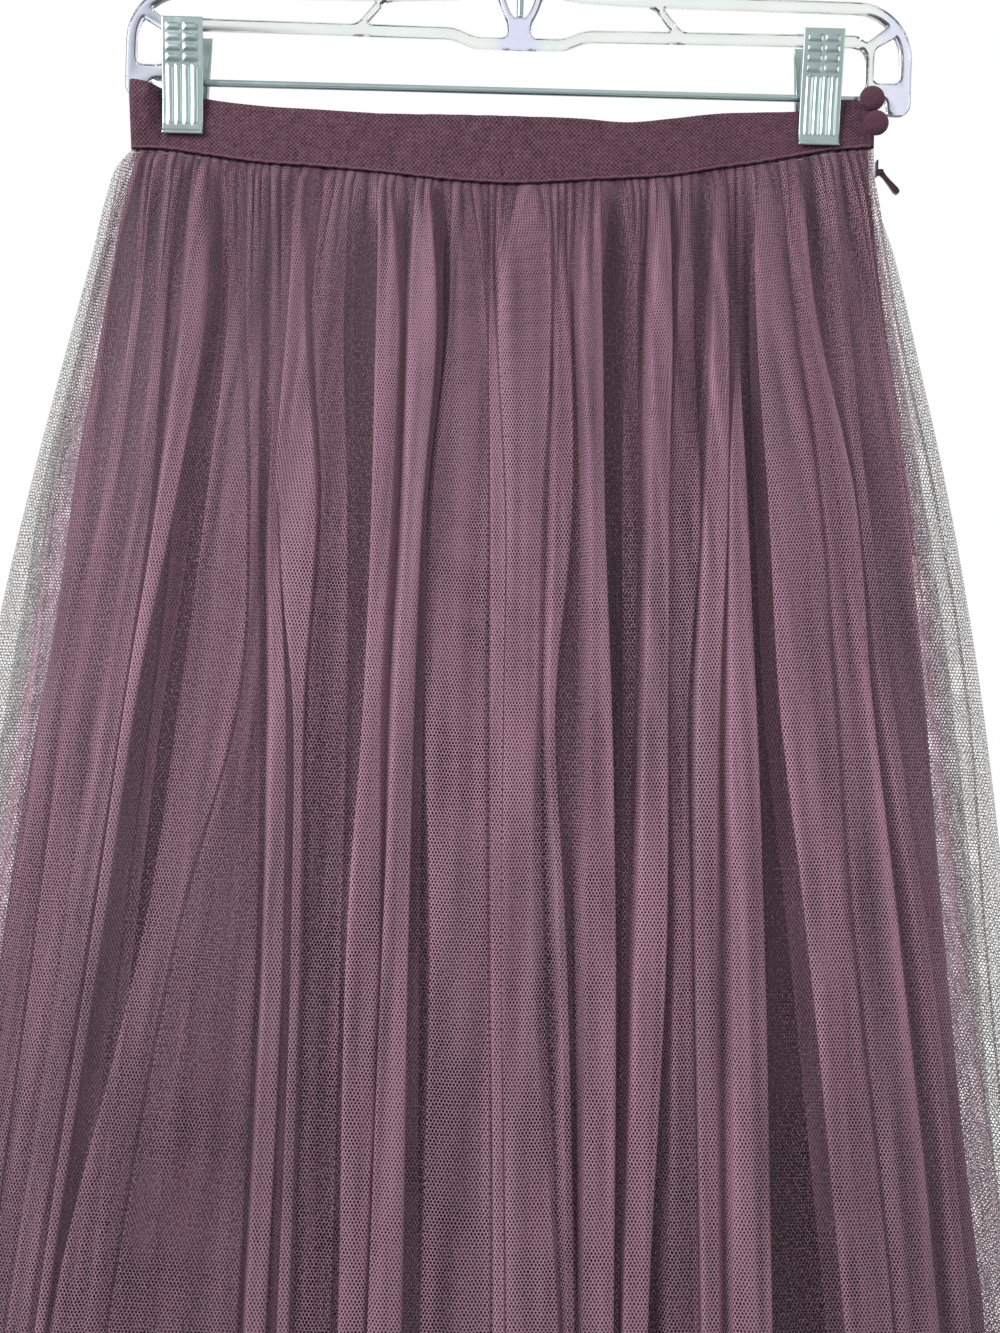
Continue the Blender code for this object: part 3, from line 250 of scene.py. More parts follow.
GATHER_COVER = (-0.2, 0.74)  # thread cover between the gathers, and how much a gather adds to it
GATHER_PAINTED_LIGHT = 0.7  # painted light: how much paler a gather is painted above, and darker below,
GATHER_LIT = 0.7  # this share of its height
GATHER_RUN = 165.0  # how far down the rows would reach at the spacing of the gathers
ROW_GROWTH = 1.7  # how fast the rows' spacing grows below them
CROWDING = (0.9, 0.5)  # how far the gathers set the cover, at the seam and below
CROWDING_DROP = 40.0
HELD_SHARE = 0.12  # of its relief that the cloth keeps at the seam
HELD_DROP = 9.0
RIPPLE_HEIGHT = 1.35
RIPPLE_FINE = 0.4
RIPPLE_WIDTH = 12.0  # of a fold on which ripples stand to their full height
STREAK_LEVELS = 10
STREAK_COVER = (0.33, 0.2)  # of the fine and the broad streaks
STREAK_TONE = 0.13
STREAK_GREY = (0.4, 0.6)  # how grey the net is on the whole, and how much that changes
# how far the painted highlights at fold edges and gather crests lighten the net's tone, and the painted
# shade in the grooves darkens it
TONE_FROM_PAINTED_LIGHT = 0.22
HEM_PAINTED_SHADE = 0.78  # painted shade: how much darker the net is painted towards the hem
HEM_SHADE_START = 240.0
HEM_SHADE_RUN = 260.0

NET_PITCH = 1.5  # between holes along a row
NET_ROW = 1.35  # between rows
NET_WANDER = 3.0  # how far the rows stray, in radians of a hole
THREAD_GRAIN = 1.2  # unevenness of the thread's edge
COVER_GAIN = 1.5  # how fast the thread widens with the cover
OPEN_EDGE = -1.87  # of the holes where nothing covers
THREAD_EDGE = 0.25  # softness of the thread's edge
BAND_YARN = 1.0
LINING_YARN = 0.5

SEAM_COLOUR = (0.045, 0.018, 0.03, 1.0)
BAND_COLOUR = (0.112, 0.052, 0.074, 1.0)
THREAD_COLOUR = (0.355, 0.190, 0.257, 1.0)
GREYED_COLOUR = (0.335, 0.196, 0.255, 1.0)
# painted shade: the neutral grey that the thread is painted where the net hangs open, standing for threads
# in shade against the bright room
MARGIN_SHADE_COLOUR = (0.26, 0.244, 0.244, 1.0)
LINING_COLOUR = (0.043, 0.018, 0.028, 1.0)
BUTTON_COLOUR = (0.105, 0.044, 0.068, 1.0)
STITCH_LIGHT = (0.12, 0.06, 0.085, 1.0)
ENAMEL_COLOUR = (0.045, 0.016, 0.03, 1.0)
ENAMEL_RUBBED = (0.11, 0.06, 0.085, 1.0)
NYLON_DARK = (0.06, 0.026, 0.042, 1.0)
NYLON_LIGHT = (0.1, 0.048, 0.07, 1.0)
PLASTIC_COLOUR = (0.88, 0.93, 0.905, 1.0)
THICK_PLASTIC = (0.70, 0.72, 0.96, 1.0)
HUB_TINT = (0.004, 0.014)  # metres across, where the thick plastic's tint begins to fade and is gone
END_TINT = (0.160, 0.168)  # and where it comes back
CHROME_COLOUR = (0.46, 0.57, 0.565, 1.0)
CHROME_SCRATCH = (0.55, 0.6, 0.6, 1.0)

# Clips
CLIP_X = {"left": -150.6, "right": 136.0}
CLIP_TOP = {"left": -94.4, "right": -92.1}
CLIP_HALF = 9.2
CLIP_HEIGHT = 50.0
CLIP_PLATE = 1.0
CLIP_EDGE_ROUND = 0.55
CLIP_EDGE_SHARE = 0.45  # of the plate, by which each of its edges is rounded
LIP_DROP = 45.0
LIP_BEAD = 0.9
LIP_FLARE = 0.9
JAW_MOUTH = -12.5
JAW_GRIP = -5.1
PAD_TOPS = (3.0, 7.3, 11.6, 15.9)
PAD_HEIGHT = 2.8
PAD_SIDES = (0.7, 7.0)
PAD_RELIEF = 0.5
FLUTE_CENTRES = (1.85, 5.55)
FLUTE_HALF = 1.35
FLUTE_RELIEF = 0.62
FLUTE_START = 20.4
FLUTE_FOOT = 45.6
FLANGE_WALL = 0.9
FLANGE_OUTLINE = ((2.0, None), (34.0, None), (30.0, -4.3), (20.0, -4.3))  # drop, depth or on the jaw
COIL_RADIUS = 2.45
COIL_WIRE = 0.42
COIL_TURNS = 8
COIL_HALF = 5.6

# Hanger
HANGER_HALF_WIDTH = 177.8
FRAME_HALF_THICKNESS = 2.5
FRAME_ROUND = 1.25
CORNER_ROUND = 3.0
ROD_Z = -119.4
ROD_END = 157.1
ROD_RADIUS = 1.6
FRAME_CORNER = (152.3, -101.0)
FRAME_ARM = 5.0
UPRIGHT_OUTSIDE = 160.6
BOSS_TOP = -112.0
BOSS_FOOT = -121.5
BOSS_ROUND = 4.8
WIRE_RADIUS = 1.5
HOOK_RADIUS = 20.5
SHANK = [(0.0, -86.3), (0.0, -72.0), (0.0, -56.0), (0.0, -50.5), (1.0, -46.6), (4.0, -43.0), (8.8, -40.2)]
HOOK_TIP = [(-21.6, -29.5), (-23.8, -33.0)]
COLLAR = ((1.8, -52.0), (3.9, -52.0), (4.7, -52.3), (5.0, -53.0), (5.0, -59.6), (4.6, -60.0), (1.8, -60.0))
# Half of the frame's outer edge, from the hub up the loop that holds the shank, out and back underneath
LOOP_INSIDE = ((0.0, -86.6), (2.4, -86.6), (4.2, -84.6), (6.6, -79.0), (7.3, -72.0), (6.6, -66.0),
               (5.3, -61.0), (5.3, -54.6))
FRAME_TOP = ((7.4, -54.6), (9.0, -58.5), (9.6, -64.0), (14.0, -70.5), (26.0, -73.4), (60.0, -75.0),
             (152.3, -75.5))
FRAME_UNDERSIDE = (
    (167.2, -126.3), (166.6, -118.5), (157.4, -118.5), (157.4, -100.5), (155.8, -97.0), (152.0, -95.6),
    (70.0, -96.0), (31.0, -96.4), (20.5, -100.6), (0.0, -100.6),
)
SIDE_WINDOW = ((165.0, -87.8), (157.2, -94.0), (153.0, -90.6), (73.6, -91.2), (64.2, -79.9))
MIDDLE_WINDOW = (
    (60.6, -79.9), (69.6, -91.2), (30.0, -91.6), (20.0, -95.7), (5.2, -95.7), (5.6, -88.6), (8.4, -83.0),
    (10.6, -76.2), (16.0, -76.6), (28.0, -78.6),
)

# Closing
BUTTONS = {"button_upper": ((158.6, -7.5, -121.8), 0.0), "button_lower": ((160.7, -7.3, -132.6), 32.0)}
BUTTON_RADIUS = 5.6
BUTTON_HEIGHT = 4.6
# The dome from its shank to its top: share of its radius, share of its height
BUTTON_DOME = (
    (0.34, -0.48), (0.34, -0.02), (0.80, 0.0), (0.93, 0.08), (1.0, 0.3), (0.95, 0.56), (0.79, 0.78),
    (0.52, 0.93), (0.26, 0.99), (0.0, 1.0),
)
BUTTON_PLEATS = 22.0
ZIP_DROPS = (22.0, 184.0)  # of the coil's two ends below the seam
# pitch, length, width, thickness
ZIP_COIL = (1.3, 0.55, 2.0, 0.7)
HEM_STITCH = (3.0, 2.2, 0.45, 0.45)
HEM_TURNED = 14.0  # from the lining's edge up to its stitches
HEM_STITCH_OUT = 1.6  # from the lining's form to the stitches
HEM_STITCH_END = 6.0

FLOOR_RADIUS = 1050.0
FLOOR_GAP = 12.0

FACE_SIDE = {"front": 1.0, "back": -1.0}


# ---------------------------------------------------------------- small helpers


def mix(a, b, share):
    """A share of the way from one value to another."""
    return a + (b - a) * share


def ease(share):
    """A share that starts and ends gently, held between 0 and 1."""
    held = np.clip(share, 0.0, 1.0)
    return held * held * (3.0 - 2.0 * held)


def smooth_at(keys, values, key):
    """Reads a smooth curve through a table's values, at one place or at many."""
    slopes = np.gradient(values, keys, axis=0)
    index = np.clip(np.searchsorted(keys, key, side="right") - 1, 0, len(keys) - 2)
    width = keys[index + 1] - keys[index]
    t = np.clip((key - keys[index]) / width, 0.0, 1.0)
    start = values[index] * (1.0 - t) ** 2 * (1.0 + 2.0 * t) + slopes[index] * width * t * (1.0 - t) ** 2
    return start + values[index + 1] * t**2 * (3.0 - 2.0 * t) - slopes[index + 1] * width * t**2 * (1.0 - t)


def table_at(rows, key, column):
    return smooth_at(rows[:, 0], rows[:, column], key)


def run_of(steps):
    """Distance gone at each point, from the lengths of the steps between them."""
    return np.concatenate([[0.0], np.cumsum(steps)])


def arc(centre, radius, start, end, steps):
    """Points on an arc from one angle to another, in degrees."""
    turns = np.radians(np.linspace(start, end, steps + 1))
    return [(centre[0] + radius * math.cos(t), centre[1] + radius * math.sin(t)) for t in turns]


def linked(name, data):
    """A new object in the scene."""
    thing = bpy.data.objects.new(name, data)
    bpy.context.scene.collection.objects.link(thing)
    return thing


def new_piece(name, mesh, finish, body=SKIRT):
    """Makes a mesh a piece of a body, in its finish."""
    piece = linked(name, mesh)
    mesh.materials.clear()
    mesh.materials.append(finish)
    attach(piece, body)
    return piece


def grid_mesh(name, points, closed_across=False, flip=False):
    """A mesh of quads from a grid of points, in millimetres, rows by columns."""
    rows, columns = points.shape[:2]
    index = np.arange(rows * columns).reshape(rows, columns)
    if closed_across:
        index = np.concatenate([index, index[:, :1]], axis=1)
    a, b = index[:-1, :-1], index[:-1, 1:]
    c, d = index[1:, 1:], index[1:, :-1]
    quads = np.stack([a, d, c, b] if not flip else [a, b, c, d], axis=-1).reshape(-1, 4)
    mesh = bpy.data.meshes.new(name)
    mesh.vertices.add(rows * columns)
    mesh.vertices.foreach_set("co", (points * MM).astype(np.float32).ravel())
    mesh.loops.add(len(quads) * 4)
    mesh.loops.foreach_set("vertex_index", quads.astype(np.int32).ravel())
    mesh.polygons.add(len(quads))
    mesh.polygons.foreach_set("loop_start", np.arange(0, len(quads) * 4, 4, dtype=np.int32))
    mesh.update(calc_edges=True)
    mesh.shade_smooth()
    return mesh


def add_uv(mesh, across, down):
    """A UV map in metres from the millimetres across and down at each point of a grid."""
    places = np.stack(np.broadcast_arrays(across, down), axis=-1).reshape(-1, 2) * MM
    corners = np.zeros(len(mesh.loops), np.int32)
    mesh.loops.foreach_get("vertex_index", corners)
    layer = mesh.uv_layers.new(name="cut")
    layer.data.foreach_set("uv", places.astype(np.float32)[corners].ravel())


def add_value(mesh, name, values):
    """A value at each point, which the finishes read by its name."""
    attribute = mesh.attributes.new(name, "FLOAT", "POINT")
    attribute.data.foreach_set("value", np.asarray(values).astype(np.float32).ravel())


def merged(mesh, fill=False):
    """Merges a mesh's doubles, closes its ends where asked, and turns its faces outwards."""
    tool = bmesh.new()
    tool.from_mesh(mesh)
    bmesh.ops.remove_doubles(tool, verts=tool.verts, dist=0.000002)
    if fill:
        open_edges = [edge for edge in tool.edges if edge.is_boundary]
        bmesh.ops.holes_fill(tool, edges=open_edges, sides=0)
    bmesh.ops.recalc_face_normals(tool, faces=tool.faces)
    tool.to_mesh(mesh)
    tool.free()
    return mesh


def joined_mesh(name, meshes):
    """One mesh from several, which are removed."""
    tool = bmesh.new()
    for mesh in meshes:
        tool.from_mesh(mesh)
        bpy.data.meshes.remove(mesh)
    whole = bpy.data.meshes.new(name)
    tool.to_mesh(whole)
    tool.free()
    return whole


def tube_mesh(name, path, radius, sides):
    """A round tube along a path of points in millimetres, with its length as a UV map."""
    path = np.array(path, float)
    tangent = np.gradient(path, axis=0)
    tangent /= np.linalg.norm(tangent, axis=1)[:, None]
    side = np.cross(tangent, (0.0, 1.0, 0.0))
    side /= np.maximum(np.linalg.norm(side, axis=1)[:, None], 1e-6)
    other = np.cross(side, tangent)
    turn = np.linspace(0.0, 2.0 * math.pi, sides, endpoint=False)
    radius = np.broadcast_to(np.asarray(radius, float), (len(path),))
    ring = side[:, None, :] * np.cos(turn)[None, :, None] + other[:, None, :] * np.sin(turn)[None, :, None]
    points = path[:, None, :] + ring * radius[:, None, None]
    mesh = grid_mesh(name, points, closed_across=True)
    run = run_of(np.linalg.norm(np.diff(path, axis=0), axis=1))
    add_uv(mesh, run[:, None], (turn * np.mean(radius))[None, :])
    return merged(mesh, fill=True)


def evaluated_mesh(thing, name):
    """The mesh of a curve or of an object with modifiers; the object itself is removed."""
    graph = bpy.context.evaluated_depsgraph_get()
    mesh = bpy.data.meshes.new_from_object(thing.evaluated_get(graph))
    mesh.transform(thing.matrix_world)
    bpy.data.objects.remove(thing)
    mesh.name = name
    return mesh


def moulded_mesh(name, loops, half_thickness, edge_round, steps):
    """A flat moulding with rounded edges, from outlines (across, up) in millimetres."""
    curve = bpy.data.curves.new(name, "CURVE")
    curve.dimensions = "2D"
    curve.fill_mode = "BOTH"
    curve.extrude = (half_thickness - edge_round) * MM
    curve.bevel_depth = edge_round * MM
    curve.offset = -edge_round * MM
    curve.bevel_resolution = steps
    for loop in loops:
        spline = curve.splines.new("POLY")
        spline.points.add(len(loop) - 1)
        for point, (x, z) in zip(spline.points, loop):
            point.co = (x * MM, z * MM, 0.0, 1.0)
        spline.use_cyclic_u = True
    mesh = evaluated_mesh(linked(name, curve), name)
    mesh.transform(Matrix.Rotation(math.pi / 2, 4, "X"))
    merged(mesh)
    mesh.shade_smooth()
    mesh.set_sharp_from_angle(angle=math.radians(50))
    return mesh


def rounded_corners(loop, radius, steps=3):
    """An outline with each corner rounded off, by at most 0.4 of its shorter side."""
    rounded = []
    for index, corner in enumerate(loop):
        corner = np.array(corner, float)
        before = np.array(loop[index - 1], float) - corner
        after = np.array(loop[(index + 1) % len(loop)], float) - corner
        before_length, after_length = np.linalg.norm(before), np.linalg.norm(after)
        cut = min(radius, 0.4 * before_length, 0.4 * after_length)
        start, end = corner + before * cut / before_length, corner + after * cut / after_length
        for t in np.linspace(0.0, 1.0, steps + 1):
            rounded.append(tuple(start * (1 - t) ** 2 + corner * 2 * t * (1 - t) + end * t**2))
    return rounded


# ---------------------------------------------------------------- materials


class Tree:
    """Shorthand for building a node tree."""

    def __init__(self, tree):
        self.tree = tree

    def node(self, kind, **settings):
        made = self.tree.nodes.new(kind)
        for key, value in settings.items():
            setattr(made, key, value)
        return made

    def feed(self, socket, value):
        if isinstance(value, bpy.types.NodeSocket):
            self.tree.links.new(value, socket)
        elif value is not None:
            socket.default_value = value

    def give(self, node, **values):
        """Feeds a node's own inputs by name, each from a socket or as a constant."""
        for name, value in values.items():
            self.feed(node.inputs[name.replace("_", " ")], value)
        return node

    def math(self, operation, *values):
        made = self.node("ShaderNodeMath", operation=operation)
        for socket, value in zip(made.inputs, values):
            self.feed(socket, value)
        return made.outputs[0]

    def blend(self, share, a, b):
        made = self.node("ShaderNodeMix", data_type="RGBA")
        self.feed(made.inputs["Factor"], share)
        self.feed(made.inputs[6], a)
        self.feed(made.inputs[7], b)
        return made.outputs[2]

    def ramp(self, value, low, high, out_low=0.0, out_high=1.0, kind="SMOOTHSTEP"):
        made = self.node("ShaderNodeMapRange", interpolation_type=kind)
        for socket, given in zip(made.inputs, (value, low, high, out_low, out_high)):
            self.feed(socket, given)
        return made.outputs[0]

    def noise(self, place, scale, detail=2.0, roughness=0.5):
        made = self.node("ShaderNodeTexNoise")
        self.give(made, Vector=place, Scale=scale, Detail=detail, Roughness=roughness)
        return made.outputs["Fac"]

    def stretched(self, place, scale):
        made = self.node("ShaderNodeVectorMath", operation="MULTIPLY")
        self.feed(made.inputs[0], place)
        made.inputs[1].default_value = scale
        return made.outputs[0]

    def shaded(self, colour, amount):
        made = self.node("ShaderNodeVectorMath", operation="SCALE")
        self.feed(made.inputs[0], colour)
        self.feed(made.inputs["Scale"], amount)
        return made.outputs[0]

    def split(self, place):
        made = self.node("ShaderNodeSeparateXYZ")
        self.feed(made.inputs[0], place)
        return made.outputs

    def bump(self, height, strength, distance):
        made = self.node("ShaderNodeBump")
        return self.give(made, Height=height, Strength=strength, Distance=distance).outputs["Normal"]


def new_group(name, inputs, outputs):
    """A shader node group with named inputs (name, kind, default) and outputs (name, kind)."""
    group = bpy.data.node_groups.new(name, "ShaderNodeTree")
    for label, kind, default in inputs:
        socket = group.interface.new_socket(label, in_out="INPUT", socket_type=kind)
        socket.default_value = default
    for label, kind in outputs:
        group.interface.new_socket(label, in_out="OUTPUT", socket_type=kind)
    tree = Tree(group)
    return group, tree, tree.node("NodeGroupInput"), tree.node("NodeGroupOutput")


FLOAT = "NodeSocketFloat"
VECTOR = "NodeSocketVector"


def crepe_group():
    """Plain weave of crepe yarns: two sets of uneven threads, over and under."""
    group, tree, given, out = new_group(
        "crepe weave",
        [("Place", VECTOR, (0.0, 0.0, 0.0)), ("Yarns per metre", FLOAT, 1500.0)],
        [("Height", FLOAT), ("Tone", FLOAT)],
    )
    place, yarns = given.outputs["Place"], given.outputs["Yarns per metre"]
    counted = tree.shaded(place, yarns)
    wander = tree.noise(counted, 0.35, 1.0)
    waves, streaks = [], []
    for axis, stretch in ((0, (1.0, 0.2, 1.0)), (1, (0.2, 1.0, 1.0))):
        bent = tree.math("MULTIPLY_ADD", wander, 1.1, tree.split(counted)[axis])
        waves.append(tree.math("SINE", tree.math("MULTIPLY", bent, math.pi)))
        streaks.append(tree.noise(tree.stretched(counted, stretch), 0.8, 2.0, 0.6))
    over = tree.math("MULTIPLY", waves[0], waves[1])
    height = tree.math("MULTIPLY_ADD", over, 0.5, tree.math("ADD", streaks[0], streaks[1]))
    tree.give(out, Height=height, Tone=tree.ramp(height, 0.4, 1.6, kind="LINEAR"))
    return group


def hexagon_group():
    """Bobbinet: an even net of six-sided holes in staggered rows. Cover sets how much of it is thread."""
    group, tree, given, out = new_group(
        "hexagonal net",
        [("Place", VECTOR, (0.0, 0.0, 0.0)), ("Cover", FLOAT, 0.25), ("Shift", FLOAT, 0.0)],
        [("Thread", FLOAT), ("Rows", FLOAT)],
    )
    place = given.outputs["Place"]
    split = tree.split(place)
    wander = tree.noise(place, 150.0, 2.0, 0.7)
    drift = tree.math("MULTIPLY_ADD", wander, NET_WANDER, given.outputs["Shift"])
    across = tree.math("MULTIPLY_ADD", split[0], 2.0 * math.pi / (NET_PITCH * MM), drift)
    down = tree.math("MULTIPLY_ADD", split[1], math.pi / (NET_ROW * MM), drift)
    row = tree.math("COSINE", down)
    both = tree.math("ADD", tree.math("COSINE", across), row)
    openness = tree.math("MULTIPLY_ADD", tree.math("MULTIPLY", row, both), 2.0, -1.0)
    edge = tree.math("MULTIPLY_ADD", given.outputs["Cover"], COVER_GAIN, OPEN_EDGE)
    edge = tree.math("MULTIPLY_ADD", tree.noise(place, 700.0, 0.0), THREAD_GRAIN, edge)
    off = tree.math("SUBTRACT", openness, edge)
    thread = tree.ramp(off, -THREAD_EDGE, THREAD_EDGE, 1.0, 0.0, "LINEAR")
    tree.give(out, Thread=thread, Rows=tree.math("MULTIPLY", row, row))
    return group


def scuff_group():
    """Fine rub marks and dull patches from handling."""
    group, tree, given, out = new_group(
        "rub marks",
        [("Place", VECTOR, (0.0, 0.0, 0.0)), ("Amount", FLOAT, 0.3)],
        [("Dull", FLOAT), ("Scratch", FLOAT)],
    )
    place, amount = given.outputs["Place"], given.outputs["Amount"]
    patches = tree.ramp(tree.noise(place, 90.0, 3.0, 0.6), 0.45, 0.75)
    lines = tree.noise(tree.stretched(place, (1.0, 1.0, 0.08)), 2600.0, 2.0, 0.6)
    scratches = tree.ramp(lines, 0.62, 0.72)
    tree.give(
        out, Dull=tree.math("MULTIPLY", patches, amount), Scratch=tree.math("MULTIPLY", scratches, amount)
    )
    return group


def new_finish(name):
    """A material with an empty tree but for its Principled shader and output."""
    made = bpy.data.materials.new(name)
    made.use_nodes = True
    tree = Tree(made.node_tree)
    shader = made.node_tree.nodes["Principled BSDF"]
    return made, tree, shader


def use_group(tree, group, **values):
    return tree.give(tree.node("ShaderNodeGroup", node_tree=group), **values)


def cut_place(tree):
    return tree.node("ShaderNodeUVMap", uv_map="cut").outputs["UV"]


def object_place(tree):
    return tree.node("ShaderNodeTexCoord").outputs["Object"]


def piece_value(tree, name):
    return tree.node("ShaderNodeAttribute", attribute_name=name).outputs["Fac"]


def paler(colour, amount):
    return tuple(min(c * amount, 1.0) for c in colour[:3]) + (1.0,)


def net_finish(name, colour, shift, hexagons):
    """Dyed net, see-through in its holes, greyer in streaks, and painted a shaded grey where it hangs open.
    """
    made, tree, shader = new_finish(name)
    cover = piece_value(tree, "cover")
    net = use_group(tree, hexagons, Place=cut_place(tree), Cover=cover, Shift=shift)
    greyed = paler(GREYED_COLOUR, colour[0] / THREAD_COLOUR[0])
    hue = tree.blend(piece_value(tree, "grey"), colour, greyed)
    # painted shade where the net hangs open beyond the lining
    hue = tree.blend(piece_value(tree, "margin"), hue, MARGIN_SHADE_COLOUR)
    # painted light: the thread is painted a little paler where its cover is thick, and by the tone, which
    # holds painted highlights and shade along with its streaks
    light = tree.math("MULTIPLY_ADD", cover, 0.05, 0.95)
    light = tree.math("MULTIPLY", light, piece_value(tree, "tone"))
    light = tree.math("MULTIPLY", light, tree.math("MULTIPLY_ADD", net.outputs["Rows"], 0.36, 0.82))
    tree.give(
        shader, Base_Color=tree.shaded(hue, light), Alpha=net.outputs["Thread"], Roughness=0.6,
        Specular_IOR_Level=0.2, Sheen_Weight=0.15, Sheen_Roughness=0.4, Sheen_Tint=(0.75, 0.52, 0.62, 1.0),
    )
    return made


def lining_finish(crepe):
    made, tree, shader = new_finish("plum lining")
    place = cut_place(tree)
    weave = use_group(tree, crepe, Place=place, Yarns_per_metre=1000.0 / LINING_YARN)
    shade = tree.noise(tree.stretched(place, (1.0, 0.2, 1.0)), 25.0, 3.0)
    tone = tree.blend(tree.ramp(shade, 0.3, 0.7), paler(LINING_COLOUR, 0.78), paler(LINING_COLOUR, 1.1))
    tree.give(
        shader, Base_Color=tone, Normal=tree.bump(weave.outputs["Height"], 0.25, 0.0001), Roughness=0.5,
        Sheen_Weight=0.12, Sheen_Tint=(0.6, 0.36, 0.46, 1.0),
    )
    return made


def crepe_finish(name, colour, crepe, yarn, contrast=0.8):
    made, tree, shader = new_finish(name)
    place = cut_place(tree)
    weave = use_group(tree, crepe, Place=place, Yarns_per_metre=1000.0 / yarn)
    tone = tree.blend(weave.outputs["Tone"], paler(colour, 1.0 - contrast), paler(colour, 1.0 + contrast))
    patches = tree.ramp(tree.noise(place, 45.0, 3.0), 0.35, 0.75, 1.0, 0.86)
    tree.give(
        shader, Base_Color=tree.shaded(tone, patches),
        Roughness=tree.ramp(weave.outputs["Tone"], 0.0, 1.0, 0.88, 0.7),
        Normal=tree.bump(weave.outputs["Height"], 0.6, 0.0003), Specular_IOR_Level=0.2,
        Sheen_Weight=0.2, Sheen_Roughness=0.5, Sheen_Tint=(0.8, 0.56, 0.66, 1.0),
    )
    return made


def thread_finish():
    made, tree, shader = new_finish("sewing thread")
    twist = tree.noise(object_place(tree), 4000.0, 1.0)
    tone = tree.blend(twist, SEAM_COLOUR, STITCH_LIGHT)
    tree.give(shader, Base_Color=tone, Normal=tree.bump(twist, 0.4, 0.0001), Roughness=0.7)
    return made


def enamel_finish(scuffs):
    made, tree, shader = new_finish("plum enamel")
    marks = use_group(tree, scuffs, Place=object_place(tree), Amount=0.6)
    tone = tree.blend(marks.outputs["Scratch"], ENAMEL_COLOUR, ENAMEL_RUBBED)
    dull = tree.math("MULTIPLY_ADD", marks.outputs["Dull"], 0.3, 0.28)
    tree.give(shader, Base_Color=tone, Roughness=dull, Metallic=0.35)
    return made


def nylon_finish():
    made, tree, shader = new_finish("dyed nylon coil")
    speckle = tree.noise(object_place(tree), 2200.0, 2.0)
    tone = tree.blend(speckle, NYLON_DARK, NYLON_LIGHT)
    tree.give(shader, Base_Color=tone, Roughness=tree.ramp(speckle, 0.2, 0.8, 0.35, 0.55))
    return made


def plastic_finish(scuffs):
    made, tree, shader = new_finish("clear moulded plastic")
    place = object_place(tree)
    marks = use_group(tree, scuffs, Place=place, Amount=0.5)
    flow = tree.noise(tree.stretched(place, (0.3, 1.0, 1.0)), 160.0, 2.0)
    tone = tree.blend(tree.ramp(flow, 0.35, 0.7), PLASTIC_COLOUR, paler(PLASTIC_COLOUR, 0.93))
    across = tree.math("ABSOLUTE", tree.split(place)[0])
    at_hub = tree.ramp(across, *HUB_TINT, 0.8, 0.0)
    at_ends = tree.ramp(across, *END_TINT, 0.0, 0.6)
    tone = tree.blend(tree.math("MAXIMUM", at_hub, at_ends), tone, THICK_PLASTIC)
    dull = tree.math("MULTIPLY_ADD", marks.outputs["Dull"], 0.2, 0.05)
    tree.give(
        shader, Base_Color=tone, Roughness=dull, Normal=tree.bump(flow, 0.15, 0.0006),
        Transmission_Weight=1.0, IOR=1.49,
    )
    return made


def chrome_finish(scuffs):
    made, tree, shader = new_finish("bright plated steel")
    marks = use_group(tree, scuffs, Place=object_place(tree), Amount=0.5)
    tone = tree.blend(marks.outputs["Scratch"], CHROME_COLOUR, CHROME_SCRATCH)
    dull = tree.math("MULTIPLY_ADD", marks.outputs["Dull"], 0.3, 0.33)
    relief = tree.bump(marks.outputs["Scratch"], 0.1, 0.0001)
    tree.give(shader, Base_Color=tone, Roughness=dull, Metallic=1.0, Normal=relief)
    return made


# ---------------------------------------------------------------- the skirt's form


def reach(layer, drop):
    """Where a layer's left and right sides are at a drop."""
    column = LAYERS[layer][0]
    return -table_at(REACH, drop, column), table_at(REACH, drop, column + 1)


def layer_length(layer):
    return SKIRT_LENGTH * LAYERS[layer][3]


def waist_opening(x):
    """Half of the gap in the waist, which the clips pinch shut at both ends."""
    share = np.clip((x - PINCH_LEFT) / (PINCH_RIGHT - PINCH_LEFT), 0.0, 1.0)
    return PINCHED + (WAIST_OPENING - PINCHED) * np.sin(math.pi * share) ** 2


def form_depth(layer, x, drop):
    """Depth of a layer at x on its section at a drop, before its folds."""
    _, stack, share, _ = LAYERS[layer]
    left, right = reach(layer, drop)
    sewn = 1.0 - SEAM_TUCK * math.exp(-drop / SEAM_TUCK_FADE)
    at_waist = waist_opening(x) + (stack + NET_WALL) * sewn
    below = table_at(REACH, drop, DEPTH) * share
    across = (x - (left + right) / 2) / ((right - left) / 2)
    depth = at_waist * math.exp(-drop / WAIST_FADE) + below * (1.0 - SIDE_FLATTENING * across**2)
    radius = table_at(REACH, drop, ROUND) - (STACK_TOP - stack)
    q = np.clip(np.minimum(x - left, right - x) / radius, 0.0, 1.0)
    return np.maximum(depth * np.sqrt(1.0 - (1.0 - q) ** 2), SEAM_HALF_GAP)


def level_at(layer, x, fall):
    """Height of a layer's row, a share of the way down it, where it passes x."""
    _, stack, _, kept = LAYERS[layer]
    hem = mix(SEAM_Z, HEM_Z, kept)
    top = table_at(BAND_EDGES, x, BAND_FOOT) - SEAM_UNDER - (STACK_TOP - stack) * STACK_UNDER
    seam_share = math.exp(-fall * SKIRT_LENGTH * kept / SEAM_FADE)
    level = mix(mix(SEAM_Z, hem, fall), mix(top, top + hem - SEAM_Z, fall), seam_share)
    return mix(level, hem, ease(fall * 2.0 - 1.0))


def shown_drop(drop):
    """Where the eye sees a drop against the hanger's plane, and how much nearer the cloth hangs."""
    nearer = 1.0 - (table_at(REACH, drop, DEPTH) * SHOWN_DEPTH + SHOWN_FRONT) / EYE_DISTANCE
    return SEAM_Z - EYE_Z - (SEAM_Z - drop - EYE_Z) / nearer, nearer


